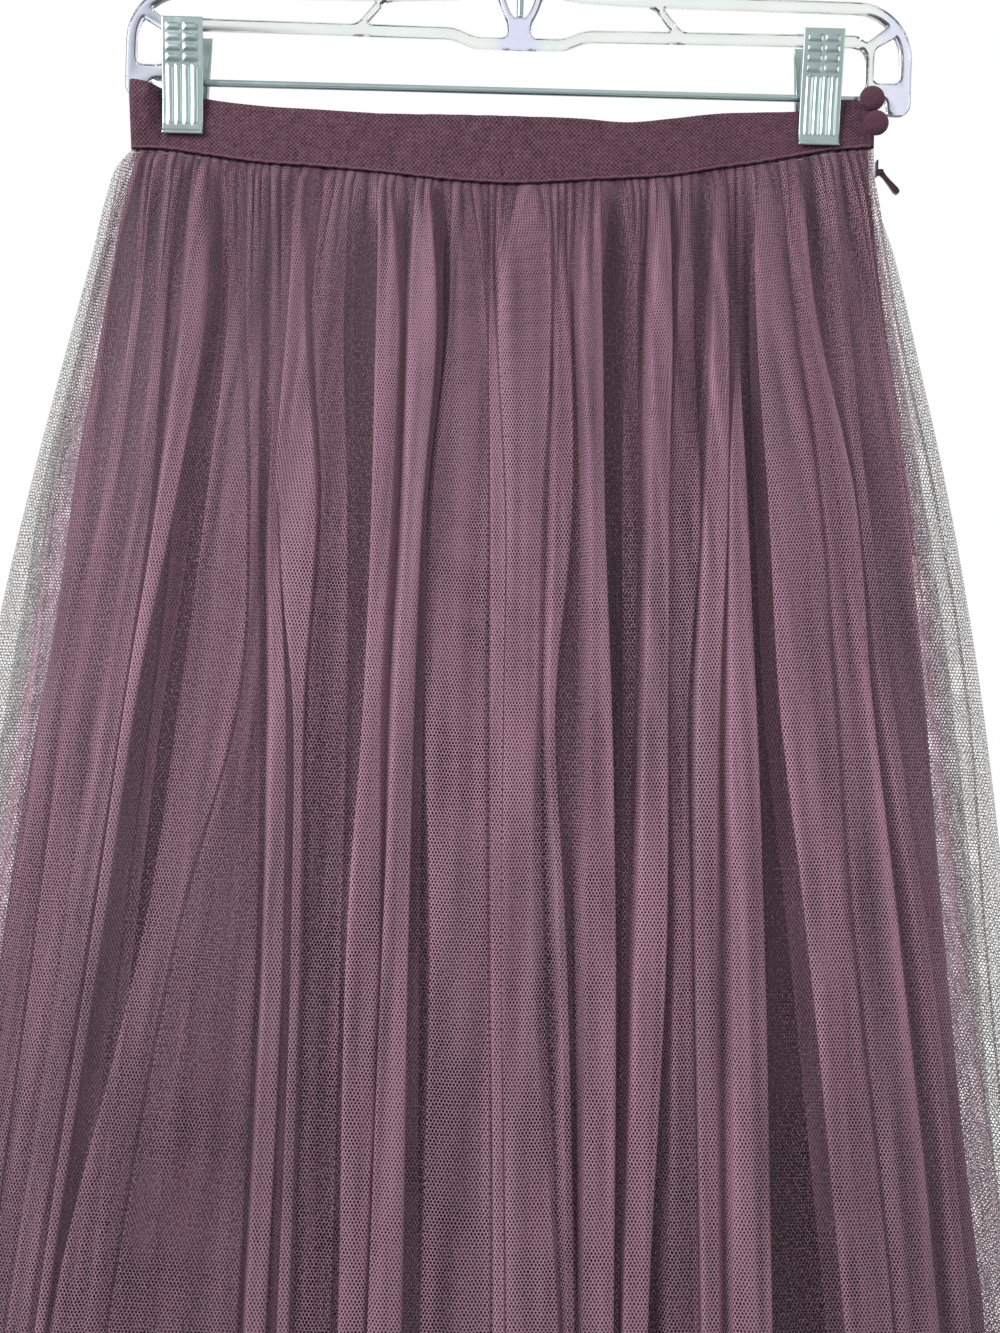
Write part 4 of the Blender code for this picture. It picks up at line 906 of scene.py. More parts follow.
def fold_table(folds, levels, seen):
    """The folds' columns as arrays, with one more level at the hem, where they spread with the skirt."""
    centres, widths, shapes, covers = [np.array(column, float) for column in zip(*folds)]
    last = levels[-1]
    spread = reach("net_outer", SKIRT_LENGTH)[1] / reach("net_outer", last)[1]
    hem = SKIRT_LENGTH
    middle = 0.0
    if seen:
        hem, nearer = shown_drop(SKIRT_LENGTH)
        spread *= shown_drop(last)[1] / nearer
        middle = EYE_X
    centres = np.column_stack([centres, middle + (centres[:, -1] - middle) * spread])
    widths = np.column_stack([widths, widths[:, -1] * spread])
    return {
        "levels": np.array(levels + (hem,)), "centres": centres, "widths": widths,
        "shapes": shapes, "covers": covers, "seen": seen,
    }


def picked(table, choice):
    """The same table with some of its folds."""
    columns = {key: table[key][choice] for key in ("centres", "widths", "shapes", "covers")}
    return {**table, **columns}


def fold_places(table, drop, layer):
    """Centre and width of each fold at a drop, on the layer's form."""
    shown, nearer = shown_drop(drop) if table["seen"] else (drop, 1.0)
    middle = EYE_X if table["seen"] else 0.0
    centres = np.array([smooth_at(table["levels"], row, shown) for row in table["centres"]])
    widths = np.array([smooth_at(table["levels"], row, shown) for row in table["widths"]])
    centres = middle + (centres - middle) * nearer
    left, right = reach("net_outer", drop)
    inner_left, inner_right = reach(layer, drop)
    narrowing = (inner_right - inner_left) / (right - left)
    centres = inner_left + (centres - left) * narrowing
    return centres, np.maximum(widths * nearer * narrowing, NARROWEST_FOLD)


def fold_weights():
    """Where a fold's columns stand between its valleys, and the weights that read a smooth curve there."""
    last = 2 * (len(RISE) - 1)
    stations = list(STATIONS) + [last / 2] + [last - s for s in reversed(STATIONS[1:])]
    weights = np.zeros((len(stations), last + 3))
    for row, station in enumerate(stations):
        segment = min(int(station), last - 1)
        t = station - segment
        basis = (
            (-t + 2 * t**2 - t**3) / 2, (2 - 5 * t**2 + 3 * t**3) / 2,
            (t + 4 * t**2 - 3 * t**3) / 2, (-(t**2) + t**3) / 2,
        )
        for step, weight in enumerate(basis):
            weights[row, segment + step] += weight
    return np.array(stations) / last, weights


SHARES, WEIGHTS = fold_weights()


def through(near, far):
    """Smooth curves through each fold's guide values: the left half's, then the right half's mirrored."""
    guides = np.stack(list(near) + list(far[-2::-1]), axis=1)
    before, after = 2 * guides[:, :1] - guides[:, 1:2], 2 * guides[:, -1:] - guides[:, -2:-1]
    return np.concatenate([before, guides, after], axis=1) @ WEIGHTS.T


def between_valleys(valleys, tops, guides):
    """A value over each fold: from its left valley's up to its top's, and down to its right valley's."""
    near, far = [[mix(ends, tops, share) for share in guides] for ends in (valleys[:-1], valleys[1:])]
    return through(near, far)


def streaks(grid, across, drop):
    """Reads seeded streaks, uneven in places and drifting down the cloth, at shares across a row."""
    level = drop / SKIRT_LENGTH * (len(grid) - 1)
    row = min(int(level), len(grid) - 2)
    line = mix(grid[row], grid[row + 1], ease(level - row))
    place = np.clip(across, 0.0, 1.0) * (len(line) - 1.001)
    cell = place.astype(int)
    return mix(line[cell], line[cell + 1], ease(place - cell))


def fold_chance(count, seed):
    """Seeded differences: the gathers' lengths and sizes, and streaks fine and broad."""
    rng = np.random.default_rng(seed)
    return {
        "length": rng.uniform(*GATHER_LENGTHS, (count, 8)),
        "size": rng.uniform(*GATHER_SIZES, (count, 8)),
        "fine": rng.uniform(-1.0, 1.0, (STREAK_LEVELS * 2, 150)),
        "broad": rng.uniform(-1.0, 1.0, (STREAK_LEVELS, 60)),
        "ripple": rng.uniform(0.0, 1.0, (STREAK_LEVELS, 75)),
        "hue": rng.uniform(-1.0, 1.0, (STREAK_LEVELS, 34)),
    }


def net_row(layer, table, drop, height_share, gathers, chance, shift):
    """One row of a panel: places across the form, heights off it, thread cover and painted light."""
    shapes = table["shapes"]
    centres, widths = fold_places(table, drop, layer)
    left, right = reach(layer, drop)
    centres = np.clip(centres + shift, left + EDGE_GAP, right - EDGE_GAP)
    lefts, rights = centres - widths / 2, centres + widths / 2
    ends = mix(left, lefts[0], END_VALLEY), mix(right, rights[-1], END_VALLEY)
    valleys = np.concatenate([ends[:1], (rights[:-1] + lefts[1:]) / 2, ends[1:]])
    valleys = np.maximum.accumulate(valleys)
    grown = ease((drop - shapes[:, START]) / (shapes[:, FULL] - shapes[:, START]))[:, None]
    tuck = grown[:, 0] * np.minimum(1.0, widths / FULL_TUCK_WIDTH)
    spread = mix(1.0, SIDE_SPREAD, ease(drop / SIDE_SPREAD_DROP))
    tucks = np.where(shapes < 0.0, shapes * spread, shapes) * tuck[:, None]
    foot_left = np.minimum(lefts + tucks[:, TUCK_LEFT], centres - FOOT_SHARE * widths)
    foot_left = np.maximum(foot_left, valleys[:-1])
    foot_right = np.maximum(rights - tucks[:, TUCK_RIGHT], centres + FOOT_SHARE * widths)
    foot_right = np.minimum(foot_right, valleys[1:])

    def half(valley, foot, edge):
        near_foot, rising = mix(valley, foot, VALLEY_GUIDE), mix(foot, edge, SIDE_GUIDE)
        return [valley, near_foot, foot, rising, edge, mix(edge, centres, TOP_GUIDE), centres]

    fold_x = through(half(valleys[:-1], foot_left, lefts), half(valleys[1:], foot_right, rights))
    height = shapes[:, HEIGHT] * height_share
    floors = shapes[:-1, FLOOR] * np.minimum(height[:-1], height[1:])
    floors = np.concatenate([[0.0], floors, [0.0]])
    tops, open_ends = table["covers"][:, 0], [SIDE_COVER]
    between = np.array([np.interp(drop, COVER_LEVELS, row[1:]) for row in table["covers"]])
    between = np.concatenate([open_ends, between[:-1], open_ends])
    fold_n = between_valleys(floors, height, RISE)
    cover = between_valleys(between, tops, THICKEN)
    # painted highlight along each fold's edges
    light = between_valleys(np.zeros(len(tops) + 1), tops, EDGE_PAINTED_LIGHT)

    even_x = mix(valleys[:-1, None], valleys[1:, None], SHARES[None, :])
    count = np.maximum(np.round(np.diff(table["seam_valleys"]) / GATHER_PITCH), 1.0)[:, None]
    wave = np.abs(np.sin(math.pi * count * SHARES[None, :])) ** GATHER_ROUND
    number = np.minimum((count * SHARES[None, :] - 1e-6).astype(int), 7)
    length, size = [np.take_along_axis(chance[key], number, axis=1) for key in ("length", "size")]
    fade = 1.0 - ease((drop - GATHER_START) / length)
    swell = mix(GATHER_SEWN, 1.0, ease(drop / GATHER_RISE)) * GATHER_HEIGHT * gathers
    gather = swell * wave * fade * size

    x = mix(even_x, fold_x, grown)
    across = (x - left) / (right - left)
    fine, broad = streaks(chance["fine"], across, drop), streaks(chance["broad"], across, drop)
    breadth = np.minimum(widths[:, None] / RIPPLE_WIDTH, 1.0)
    ripple = (streaks(chance["ripple"], across, drop) + RIPPLE_FINE * fine) * breadth
    held = mix(HELD_SHARE, 1.0, ease(drop / HELD_DROP))
    n = held * (fold_n * grown + gather + ripple * RIPPLE_HEIGHT * grown * height_share)
    crowd = GATHER_COVER[0] + GATHER_COVER[1] * wave * size
    crowded = fade * gathers * mix(*CROWDING, ease(drop / CROWDING_DROP))
    # painted highlight on the gathers' crests and painted shade in their grooves
    light = light * grown + GATHER_PAINTED_LIGHT * (wave - GATHER_LIT) * crowded
    cover = mix(cover * grown + SIDE_COVER * (1.0 - grown), crowd, crowded)
    cover = cover * (1.0 + STREAK_COVER[0] * fine + STREAK_COVER[1] * broad)
    x, n, cover, light = [grid[:, :-1].ravel() for grid in (x, n, cover, light)]
    lead, tail = mix(left, x[0], SIDE_SHARES), mix(right, valleys[-1], SIDE_SHARES[::-1])
    x = np.concatenate([lead, x, [valleys[-1]], tail])
    pad = np.zeros(len(SIDE_SHARES))
    n = np.concatenate([pad, n, [0.0], pad])
    cover = np.concatenate([pad + SIDE_COVER, cover, [SIDE_COVER], pad + SIDE_COVER])
    light = np.concatenate([pad, light, [0.0], pad])
    return x, n, np.clip(cover, 0.0, FULL_COVER), light


def lining_cover(x, drop):
    """How far a place lies beyond the lining's edges, as a share of the way to the open net."""
    left, right = reach("lining", drop)
    return ease((np.maximum(left - x, x - right) + MARGIN_START) / MARGIN_FADE)


def cloth_grid(layer, face, table, drops, height_share, gathers, seed, shift):
    """Points of a panel, places across its flat cut, its four values for the finish, and its width."""
    side = FACE_SIDE[face]
    chance = fold_chance(len(table["centres"]), seed)
    seam_centres, _ = fold_places(table, 0.0, layer)
    seam_left, seam_right = reach(layer, 0.0)
    middle = (seam_centres[1:] + seam_centres[:-1]) / 2
    table = {**table, "seam_valleys": np.concatenate([[seam_left], middle, [seam_right]])}
    grid, runs, values = [], [], []
    step = 0.05
    for drop in drops:
        x, n, cover, light = net_row(layer, table, drop, height_share, gathers, chance, shift)
        depth = form_depth(layer, x, drop)
        slope = (form_depth(layer, x + step, drop) - form_depth(layer, x - step, drop)) / (2 * step)
        size = np.sqrt(1.0 + slope**2)
        px = x - n * slope / size
        py = -(depth + n / size)
        z = level_at(layer, px, drop / layer_length(layer))
        grid.append(np.stack([px, py * side, z], axis=1))
        left, right = reach(layer, drop)
        across = (x - left) / (right - left)
        beyond = lining_cover(px, drop)
        turned = np.diff(py) * (1.0 - MARGIN_EASE * (beyond[1:] + beyond[:-1]) / 2)
        runs.append(run_of(np.hypot(np.diff(px), turned)))
        cover = mix(cover, mix(SIDE_COVER, cover, MARGIN_UNEVEN) + MARGIN_LIGHT * light, beyond)
        uneven = streaks(chance["fine"], across, drop) + streaks(chance["broad"], across, drop)
        greyed = ease(STREAK_GREY[0] + STREAK_GREY[1] * streaks(chance["hue"], across, drop))
        # painted shade: the net is painted darker towards the hem, standing for the light falling off there
        low = mix(1.0, HEM_PAINTED_SHADE, ease((drop - HEM_SHADE_START) / HEM_SHADE_RUN))
        # the tone carries painted highlights and shade besides the uneven streaks
        values.append((cover, low * (1.0 + STREAK_TONE * uneven + TONE_FROM_PAINTED_LIGHT * light), beyond, greyed))
    points, runs = np.array(grid), np.array(runs)
    middle = runs[int(len(drops) * CUT_ROW)]
    across = mix(runs * (middle[-1] / runs[:, -1:]), np.broadcast_to(middle, runs.shape), CUT_EVEN)
    return points, across, np.array(values).transpose(1, 0, 2), middle[-1]


def panel_drops(length, count, gather_rows):
    """Drops of a panel's rows: close together in the gathers, wider apart below."""
    share = np.linspace(0.0, 1.0, count)
    near = share * gather_rows
    return near + (length - gather_rows) * share**ROW_GROWTH


def cloth_panel(name, layer, face, table, count, height_share, gathers, seed, finish, shift):
    """A whole panel of one layer, as a piece."""
    drops = panel_drops(layer_length(layer), count, GATHER_RUN)
    points, across, values, width = cloth_grid(
        layer, face, table, drops, height_share, gathers, seed, shift
    )
    mesh = grid_mesh(name, points, flip=face == "back")
    add_uv(mesh, across, drops[:, None])
    for label, value in zip(("cover", "tone", "margin", "grey"), values):
        add_value(mesh, label, value)
    print(f"{name}: {len(mesh.polygons) * 2} triangles, {width:.0f} mm across at the row of its cut")
    return new_piece(name, mesh, finish)


# ---------------------------------------------------------------- waistband


def forward_lean(x, share):
    """How far the band's free left end falls forward."""
    return FLOP * ease((FLOP_START - x) / FLOP_LENGTH) * min(1.0, (1.0 - share) / FLOP_FADE)


# Soft creases across the band: place of the top, place of the foot, width, depth
BAND_CREASES = [
    (-62, -76, 3.2, 0.5), (-44, -60, 4.0, 0.7), (-30, -12, 4.5, 0.65), (-18, -36, 3.5, 0.8),
    (-6, -22, 3.0, 0.6), (6, -8, 4.5, 0.7), (40, 34, 5.0, 0.25), (88, 96, 4.0, 0.3), (-110, -104, 6.0, 0.3),
]


def band_relief(x, share):
    """How far the band's face stands in or out at a place: creases, and the pull of the gathers below."""
    relief = np.zeros_like(x)
    for top, foot, width, depth in BAND_CREASES:
        off = (x - mix(top, foot, share)) / width
        relief -= depth * np.exp(-off * off) * math.sin(math.pi * min(share + 0.12, 1.0)) ** 0.5
    pull = ease((share - PULL_START) / (1.0 - PULL_START))
    relief += PULL_DEPTH * pull * np.sin(x * 1.3 + 0.8 * np.sin(x * 0.31))
    return relief


def band_face(x, share):
    """Half depth of the band's outer face, rounded off at its ends."""
    q = np.clip(np.minimum(x - LEFT_END, RIGHT_END - x) / BAND_ROUND, 0.0, 1.0)
    flat = waist_opening(x) + BAND_INSET + BAND_WALL + band_relief(x, share)
    return flat * np.sqrt(1.0 - (1.0 - q) ** 2)


def waistband(face, finish):
    side = FACE_SIDE[face]
    near = LEFT_END + BAND_END * np.linspace(0.0, 1.0, 8)[:-1] ** 1.6
    far = RIGHT_END - BAND_END * np.linspace(1.0, 0.0, 8)[1:] ** 1.6
    x = np.concatenate([near, np.linspace(LEFT_END + BAND_END, RIGHT_END - BAND_END, 420), far])
    shares = np.concatenate([[0.0, 0.012, 0.03, 0.06], np.linspace(0.1, 0.9, 14), [0.95, 0.98, 1.0]])
    outer, inner = [], []
    for share in shares:
        z = mix(table_at(BAND_EDGES, x, BAND_TOP), table_at(BAND_EDGES, x, BAND_FOOT), share)
        lean = forward_lean(x, share)
        near_top = 1.0 - min(share / TOP_ROUND_SHARE, 1.0)
        top_round = TOP_ROUND * (1.0 - math.sqrt(1.0 - near_top**2))
        outside = np.maximum(band_face(x, share) - top_round, SEAM_HALF_GAP)
        facing = waist_opening(x) + BAND_INSET + FACING_GAP + top_round * 0.3
        inside = np.maximum(np.minimum(facing, outside - 0.25), 0.02)
        outer.append(np.stack([x, -side * outside - lean, z], axis=1))
        inner.append(np.stack([x, -side * inside - lean, z], axis=1))
    loop = np.concatenate([np.array(outer), np.array(inner)[::-1]])
    loop = np.concatenate([loop, loop[:1]])
    name = f"waistband_{face}_cloth"
    mesh = grid_mesh(name, loop, flip=face == "back")
    run = run_of(np.hypot(np.diff(x), np.diff(outer[8][:, 1])))
    down = np.concatenate([shares, shares[::-1] + 1.2, [0.0]]) * BAND_DEPTH
    add_uv(mesh, run[None, :], down[:, None])
    merged(mesh, fill=True)
    piece = new_piece(name, mesh, finish)
    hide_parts(f"waistband_{face}")


def band_piping(face, finish):
    """The fine cord sewn into the seam under the band."""
    side = FACE_SIDE[face]
    x = np.arange(LEFT_END + 1.5, RIGHT_END - 1.5, 1.0)
    z = table_at(BAND_EDGES, x, BAND_FOOT) + 0.25 + 0.12 * np.sin(x * 0.9 + np.sin(x * 0.23))
    y = -side * (band_face(x, 1.0) + 0.1) - forward_lean(x, 1.0)
    radius = PIPING_RADIUS * (1.0 + 0.12 * np.sin(x * 1.7 + 2.0 * np.sin(x * 0.4)))
    mesh = tube_mesh(f"band_piping_{face}", np.stack([x, y, z], axis=1), radius, 10)
    new_piece(f"band_piping_{face}", mesh, finish)


# ---------------------------------------------------------------- what repeats, by Geometry Nodes


REPEAT_SIZES = ("Pitch", "Length", "Width", "Thickness")


def repeat_tree():
    """Sets small beads or bars at an even pitch along a curve, square to its run or along it."""
    group = bpy.data.node_groups.new("repeat along a path", "GeometryNodeTree")
    group.interface.new_socket("Geometry", in_out="INPUT", socket_type="NodeSocketGeometry")
    for label in REPEAT_SIZES:
        group.interface.new_socket(label, in_out="INPUT", socket_type=FLOAT).default_value = MM
    group.interface.new_socket("Finish", in_out="INPUT", socket_type="NodeSocketMaterial")
    group.interface.new_socket("Geometry", in_out="OUTPUT", socket_type="NodeSocketGeometry")
    tree = Tree(group)
    given, out = tree.node("NodeGroupInput"), tree.node("NodeGroupOutput")
    points = tree.node("GeometryNodeCurveToPoints", mode="LENGTH")
    tree.give(points, Curve=given.outputs["Geometry"], Length=given.outputs["Pitch"])
    bead = tree.give(tree.node("GeometryNodeMeshUVSphere"), Segments=8, Rings=6, Radius=0.5)
    size = tree.node("ShaderNodeCombineXYZ")
    tree.give(size, X=given.outputs["Thickness"], Y=given.outputs["Width"], Z=given.outputs["Length"])
    place = tree.node("GeometryNodeInstanceOnPoints")
    tree.give(
        place, Points=points.outputs["Points"], Instance=bead.outputs["Mesh"],
        Rotation=points.outputs["Rotation"], Scale=size.outputs[0],
    )
    real = tree.node("GeometryNodeRealizeInstances")
    tree.feed(real.inputs[0], place.outputs[0])
    paint = tree.node("GeometryNodeSetMaterial")
    tree.give(paint, Geometry=real.outputs[0], Material=given.outputs["Finish"])
    tree.feed(out.inputs[0], paint.outputs[0])
    return group


def repeated_row(name, path, sizes, finish):
    """A row of stitches or zip coils along a path; sizes are pitch, length, width, thickness."""
    curve = bpy.data.curves.new(name, "CURVE")
    curve.dimensions = "3D"
    spline = curve.splines.new("POLY")
    spline.points.add(len(path) - 1)
    flat = np.concatenate([np.array(path) * MM, np.ones((len(path), 1))], axis=1)
    spline.points.foreach_set("co", flat.astype(np.float32).ravel())
    holder = linked(f"{name}_path", curve)
    nodes = holder.modifiers.new("row", "NODES")
    nodes.node_group = REPEAT
    given = {"Finish": finish, **{label: size * MM for label, size in zip(REPEAT_SIZES, sizes)}}
    for socket in REPEAT.interface.items_tree:
        if socket.in_out == "INPUT" and socket.name in given:
            nodes[socket.identifier] = given[socket.name]
    mesh = evaluated_mesh(holder, name)
    mesh.shade_smooth()
    return new_piece(name, mesh, finish)


def lining_hem_path(face):
    """The line that the lining's hem is stitched along."""
    side = FACE_SIDE[face]
    drop = layer_length("lining") - HEM_TURNED
    left, right = reach("lining", drop)
    x = np.linspace(left + HEM_STITCH_END, right - HEM_STITCH_END, 240)
    y = -side * (form_depth("lining", x, drop) + HEM_STITCH_OUT)
    return np.stack([x, y, level_at("lining", x, drop / layer_length("lining"))], axis=1)


def zip_line(out):
    """A line down the closed zip, a distance out from its tape."""
    drops = np.linspace(*ZIP_DROPS, 60)
    x = np.array([reach("lining", drop)[1] for drop in drops]) + out
    return np.stack([x, np.zeros_like(x), RIGHT_SEAM - drops], axis=1)


# ---------------------------------------------------------------- clips


def jaw_lean(drop):
    """Depth of the jaw's front face: wide open at the top, closing on the band at the tip."""
    share = np.minimum(drop / LIP_DROP, 1.0)
    flare = LIP_FLARE * np.maximum(drop - LIP_DROP, 0.0) / (CLIP_HEIGHT - LIP_DROP)
    return mix(JAW_MOUTH, JAW_GRIP, (ease(share) + share) / 2) - flare


def swollen(off, half, flatness=1.0):
    """Height of a rounded ridge, 1 at its middle and 0 from its edge out."""
    return np.maximum(0.0, 1.0 - np.abs(off / half) ** (2.0 * flatness)) ** 0.5


def jaw_relief(x, drop):
    """Pads near the top and flutes down to the lip, over the jaw's plain plate."""
    relief = np.zeros_like(x)
    pad_middle, pad_half = sum(PAD_SIDES) / 2, (PAD_SIDES[1] - PAD_SIDES[0]) / 2
    for top in PAD_TOPS:
        high = swollen(drop - top - PAD_HEIGHT / 2, PAD_HEIGHT / 2, 1.4)
        wide = swollen(np.abs(x) - pad_middle, pad_half, 2.5)
        relief = np.maximum(relief, PAD_RELIEF * high * wide)
    long = swollen(drop - (FLUTE_START + FLUTE_FOOT) / 2, (FLUTE_FOOT - FLUTE_START) / 2, 9.0)
    for centre in FLUTE_CENTRES:
        relief = np.maximum(relief, FLUTE_RELIEF * long * swollen(np.abs(x) - centre, FLUTE_HALF))
    bead = swollen(drop - CLIP_HEIGHT + LIP_BEAD, LIP_BEAD)
    return np.maximum(relief, 0.3 * bead)


def slab_mesh(name, front, back):
    """A closed plate between two grids of points."""
    rim_front = np.concatenate([front[0], front[1:, -1], front[-1, -2::-1], front[-2:0:-1, 0]])
    rim_back = np.concatenate([back[0], back[1:, -1], back[-1, -2::-1], back[-2:0:-1, 0]])
    sheets = [grid_mesh("front", front), grid_mesh("back", back, flip=True)]
    sheets.append(grid_mesh("rim", np.stack([rim_front, rim_back]), closed_across=True))
    mesh = merged(joined_mesh(name, sheets))
    mesh.shade_smooth()
    return mesh


def fine_ended(start, end, count):
    """Evenly spaced places from start to end, with closer ones at both ends."""
    near = np.array((0.0, 0.08, 0.25))
    return np.concatenate([start + near, np.linspace(start + 0.5, end - 0.5, count), end - near[::-1]])


def jaw_mesh():
    """A pressed jaw's plate, with its pads, its flutes and its rounded edges."""
    across, down = np.meshgrid(fine_ended(-CLIP_HALF, CLIP_HALF, 46), fine_ended(0.0, CLIP_HEIGHT, 110))
    edge = np.minimum(CLIP_HALF - np.abs(across), np.minimum(down, CLIP_HEIGHT - down))
    fall = 1.0 - np.sqrt(1.0 - (1.0 - np.clip(edge / CLIP_EDGE_ROUND, 0.0, 1.0)) ** 2)
    lean = jaw_lean(down)
    front_y = lean - jaw_relief(across, down) + fall * CLIP_PLATE * CLIP_EDGE_SHARE
    back_y = lean + CLIP_PLATE * (1.0 - CLIP_EDGE_SHARE * fall)
    return slab_mesh("jaw", np.stack([across, front_y, -down], -1), np.stack([across, back_y, -down], -1))


def flange_mesh(turn):
    """One of the jaw's two side flanges, which run back towards the rod."""
    outline = [(jaw_lean(drop) + CLIP_PLATE / 2 if y is None else y, -drop) for drop, y in FLANGE_OUTLINE]
    mesh = moulded_mesh("flange", [rounded_corners(outline, 3.0)], FLANGE_WALL / 2, 0.3, 2)
    # the moulding lies across x and z: stand it up along y and z at the jaw's side
    mesh.transform(Matrix(((0, 1, 0, 0), (1, 0, 0, 0), (0, 0, 1, 0), (0, 0, 0, 1))))
    mesh.transform(Matrix.Translation(((CLIP_HALF - 0.1 - FLANGE_WALL / 2) * turn * MM, 0.0, 0.0)))
    return merged(mesh)


def spring_mesh():
    """The coil spring round the rod, with its two legs along the jaws."""
    count = COIL_TURNS * 18
    turn = np.linspace(0.0, 2.0 * math.pi * COIL_TURNS, count)
    x = np.linspace(-COIL_HALF, COIL_HALF, count)
    coil = np.stack([x, COIL_RADIUS * np.sin(turn), COIL_RADIUS * np.cos(turn)], axis=1)
    return tube_mesh("spring", coil, COIL_WIRE, 8)


def clip(side, finish):
    """Both jaws of a clip, back to back, and the spring between them."""
    place = Matrix.Translation(Vector((CLIP_X[side], 0.0, CLIP_TOP[side])) * MM)
    for face, turn in (("front", 0.0), ("back", math.pi)):
        name = f"clip_{side}_{face}_jaw"
        mesh = joined_mesh(name, [jaw_mesh(), flange_mesh(-1), flange_mesh(1)])
        mesh.transform(place @ Matrix.Rotation(turn, 4, "Z"))
        piece = new_piece(name, mesh, finish)
        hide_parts(f"clip_{side}_{face}")
    mesh = spring_mesh()
    mesh.transform(Matrix.Translation(Vector((CLIP_X[side], 0.0, ROD_Z)) * MM))
    piece = new_piece(f"clip_{side}_spring", mesh, finish)
    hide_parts(f"clip_{side}_barrel")


# ---------------------------------------------------------------- hanger


def mirrored(loop):
    return [(-x, z) for x, z in reversed(loop) if abs(x) > 0.1]


def frame_loops():
    """The frame's outer edge and its six windows, with their corners rounded."""
    half, inner_edge = HANGER_HALF_WIDTH, HANGER_HALF_WIDTH - FRAME_ARM
    inner_radius = inner_edge - FRAME_CORNER[0]
    right = list(LOOP_INSIDE) + list(FRAME_TOP) + arc(FRAME_CORNER, half - FRAME_CORNER[0], 82, 0, 12)
    right += arc((half - BOSS_ROUND, BOSS_FOOT), BOSS_ROUND, 0, -90, 6) + list(FRAME_UNDERSIDE)
    end_window = [(UPRIGHT_OUTSIDE, BOSS_TOP), (inner_edge, BOSS_TOP), (inner_edge, FRAME_CORNER[1])]
    end_window += arc(FRAME_CORNER, inner_radius, 12, 30, 3) + [(161.0, -96.3)]
    side_window = [(152.3, -80.5)] + arc(FRAME_CORNER, inner_radius, 76, 46, 5) + list(SIDE_WINDOW)
    loops = [rounded_corners(right + mirrored(right), CORNER_ROUND)]
    for window in (end_window, side_window, list(MIDDLE_WINDOW)):
        smooth_window = rounded_corners(window, CORNER_ROUND)
        loops += [smooth_window, mirrored(smooth_window)]
    return loops


def turned_mesh(name, profile, steps, bend=None):
    """A body turned about the upright axis from (radius, height) points, top to bottom or round."""
    profile = np.array(profile, float)
    turn = np.linspace(0.0, 2.0 * math.pi, steps, endpoint=False)
    radius = np.repeat(profile[:, :1], steps, axis=1)
    if bend is not None:
        radius = radius * bend(turn[None, :], np.linspace(0.0, 1.0, len(profile))[:, None])
    points = np.stack(
        [radius * np.cos(turn), radius * np.sin(turn), np.repeat(profile[:, 1:], steps, axis=1)], axis=-1
    )
    mesh = grid_mesh(name, points, closed_across=True)
    add_uv(mesh, points[:, :, 0], points[:, :, 1])
    merged(mesh, fill=True)
    mesh.shade_smooth()
    return mesh


def smooth_profile(points, count):
    """Points along a smooth curve through a profile's own, even in their spacing."""
    points = np.array(points, float)
    keys = run_of(np.linalg.norm(np.diff(points, axis=0), axis=1))
    at = np.linspace(0.0, keys[-1], count)
    return np.stack([smooth_at(keys, points[:, axis], at) for axis in (0, 1)], axis=1)


def hook_mesh():
    """The hook's wire, smooth from the hub up and over the rail that would carry it."""
    bow = arc((0.0, WIRE_RADIUS - HOOK_RADIUS), HOOK_RADIUS, -42, 196, 20)
    path = smooth_profile(SHANK + bow + HOOK_TIP, 220)
    radius = np.full(len(path), WIRE_RADIUS)
    radius[-4:] *= (0.97, 0.9, 0.75, 0.45)
    return tube_mesh("hook_wire", np.insert(path, 1, 0.0, axis=1), radius, 20)


def rod_mesh():
    x = np.linspace(-ROD_END, ROD_END, 60)
    path = np.stack([x, np.zeros_like(x), np.full_like(x, ROD_Z)], axis=1)
    return tube_mesh("hanger_bar", path, ROD_RADIUS, 28)


def hanger(plastic, chrome):
    frame_mesh = moulded_mesh("moulded_frame", frame_loops(), FRAME_HALF_THICKNESS, FRAME_ROUND, 4)
    for node, mesh, finish, slot in (
        ("hanger_frame", frame_mesh, plastic, "clear_plastic"),
        ("hanger_collar", turned_mesh("hook_collar", COLLAR + COLLAR[:1], 48), plastic, "clear_plastic"),
        ("hanger_hook", hook_mesh(), chrome, "chrome"),
        ("hanger_rod", rod_mesh(), chrome, "chrome"),
    ):
        piece = new_piece(mesh.name, mesh, finish)
        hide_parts(node)


# ---------------------------------------------------------------- buttons and zip


def button(node, finish):
    """A button covered in crepe: a dome with the cloth's small pleats where it turns under."""
    centre, turn = BUTTONS[node]
    profile = [(share * BUTTON_RADIUS, rise * BUTTON_HEIGHT) for share, rise in BUTTON_DOME]
    profile = smooth_profile(profile, 40)

    def pleats(angle, along):
        rim = np.exp(-((along - 0.25) / 0.12) ** 2)
        return 1.0 + 0.02 * rim * np.sin(angle * BUTTON_PLEATS + 1.5 * np.sin(angle * 3.0))

    profile[-1, 0] = 0.0
    mesh = turned_mesh(f"{node}_cover", profile, 96, pleats)
    place = Matrix.Translation(Vector(centre) * MM) @ Matrix.Rotation(math.radians(turn), 4, "Y")
    mesh.transform(place @ Matrix.Rotation(math.pi / 2, 4, "X"))
    piece = new_piece(f"{node}_cover", mesh, finish)
    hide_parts(node)


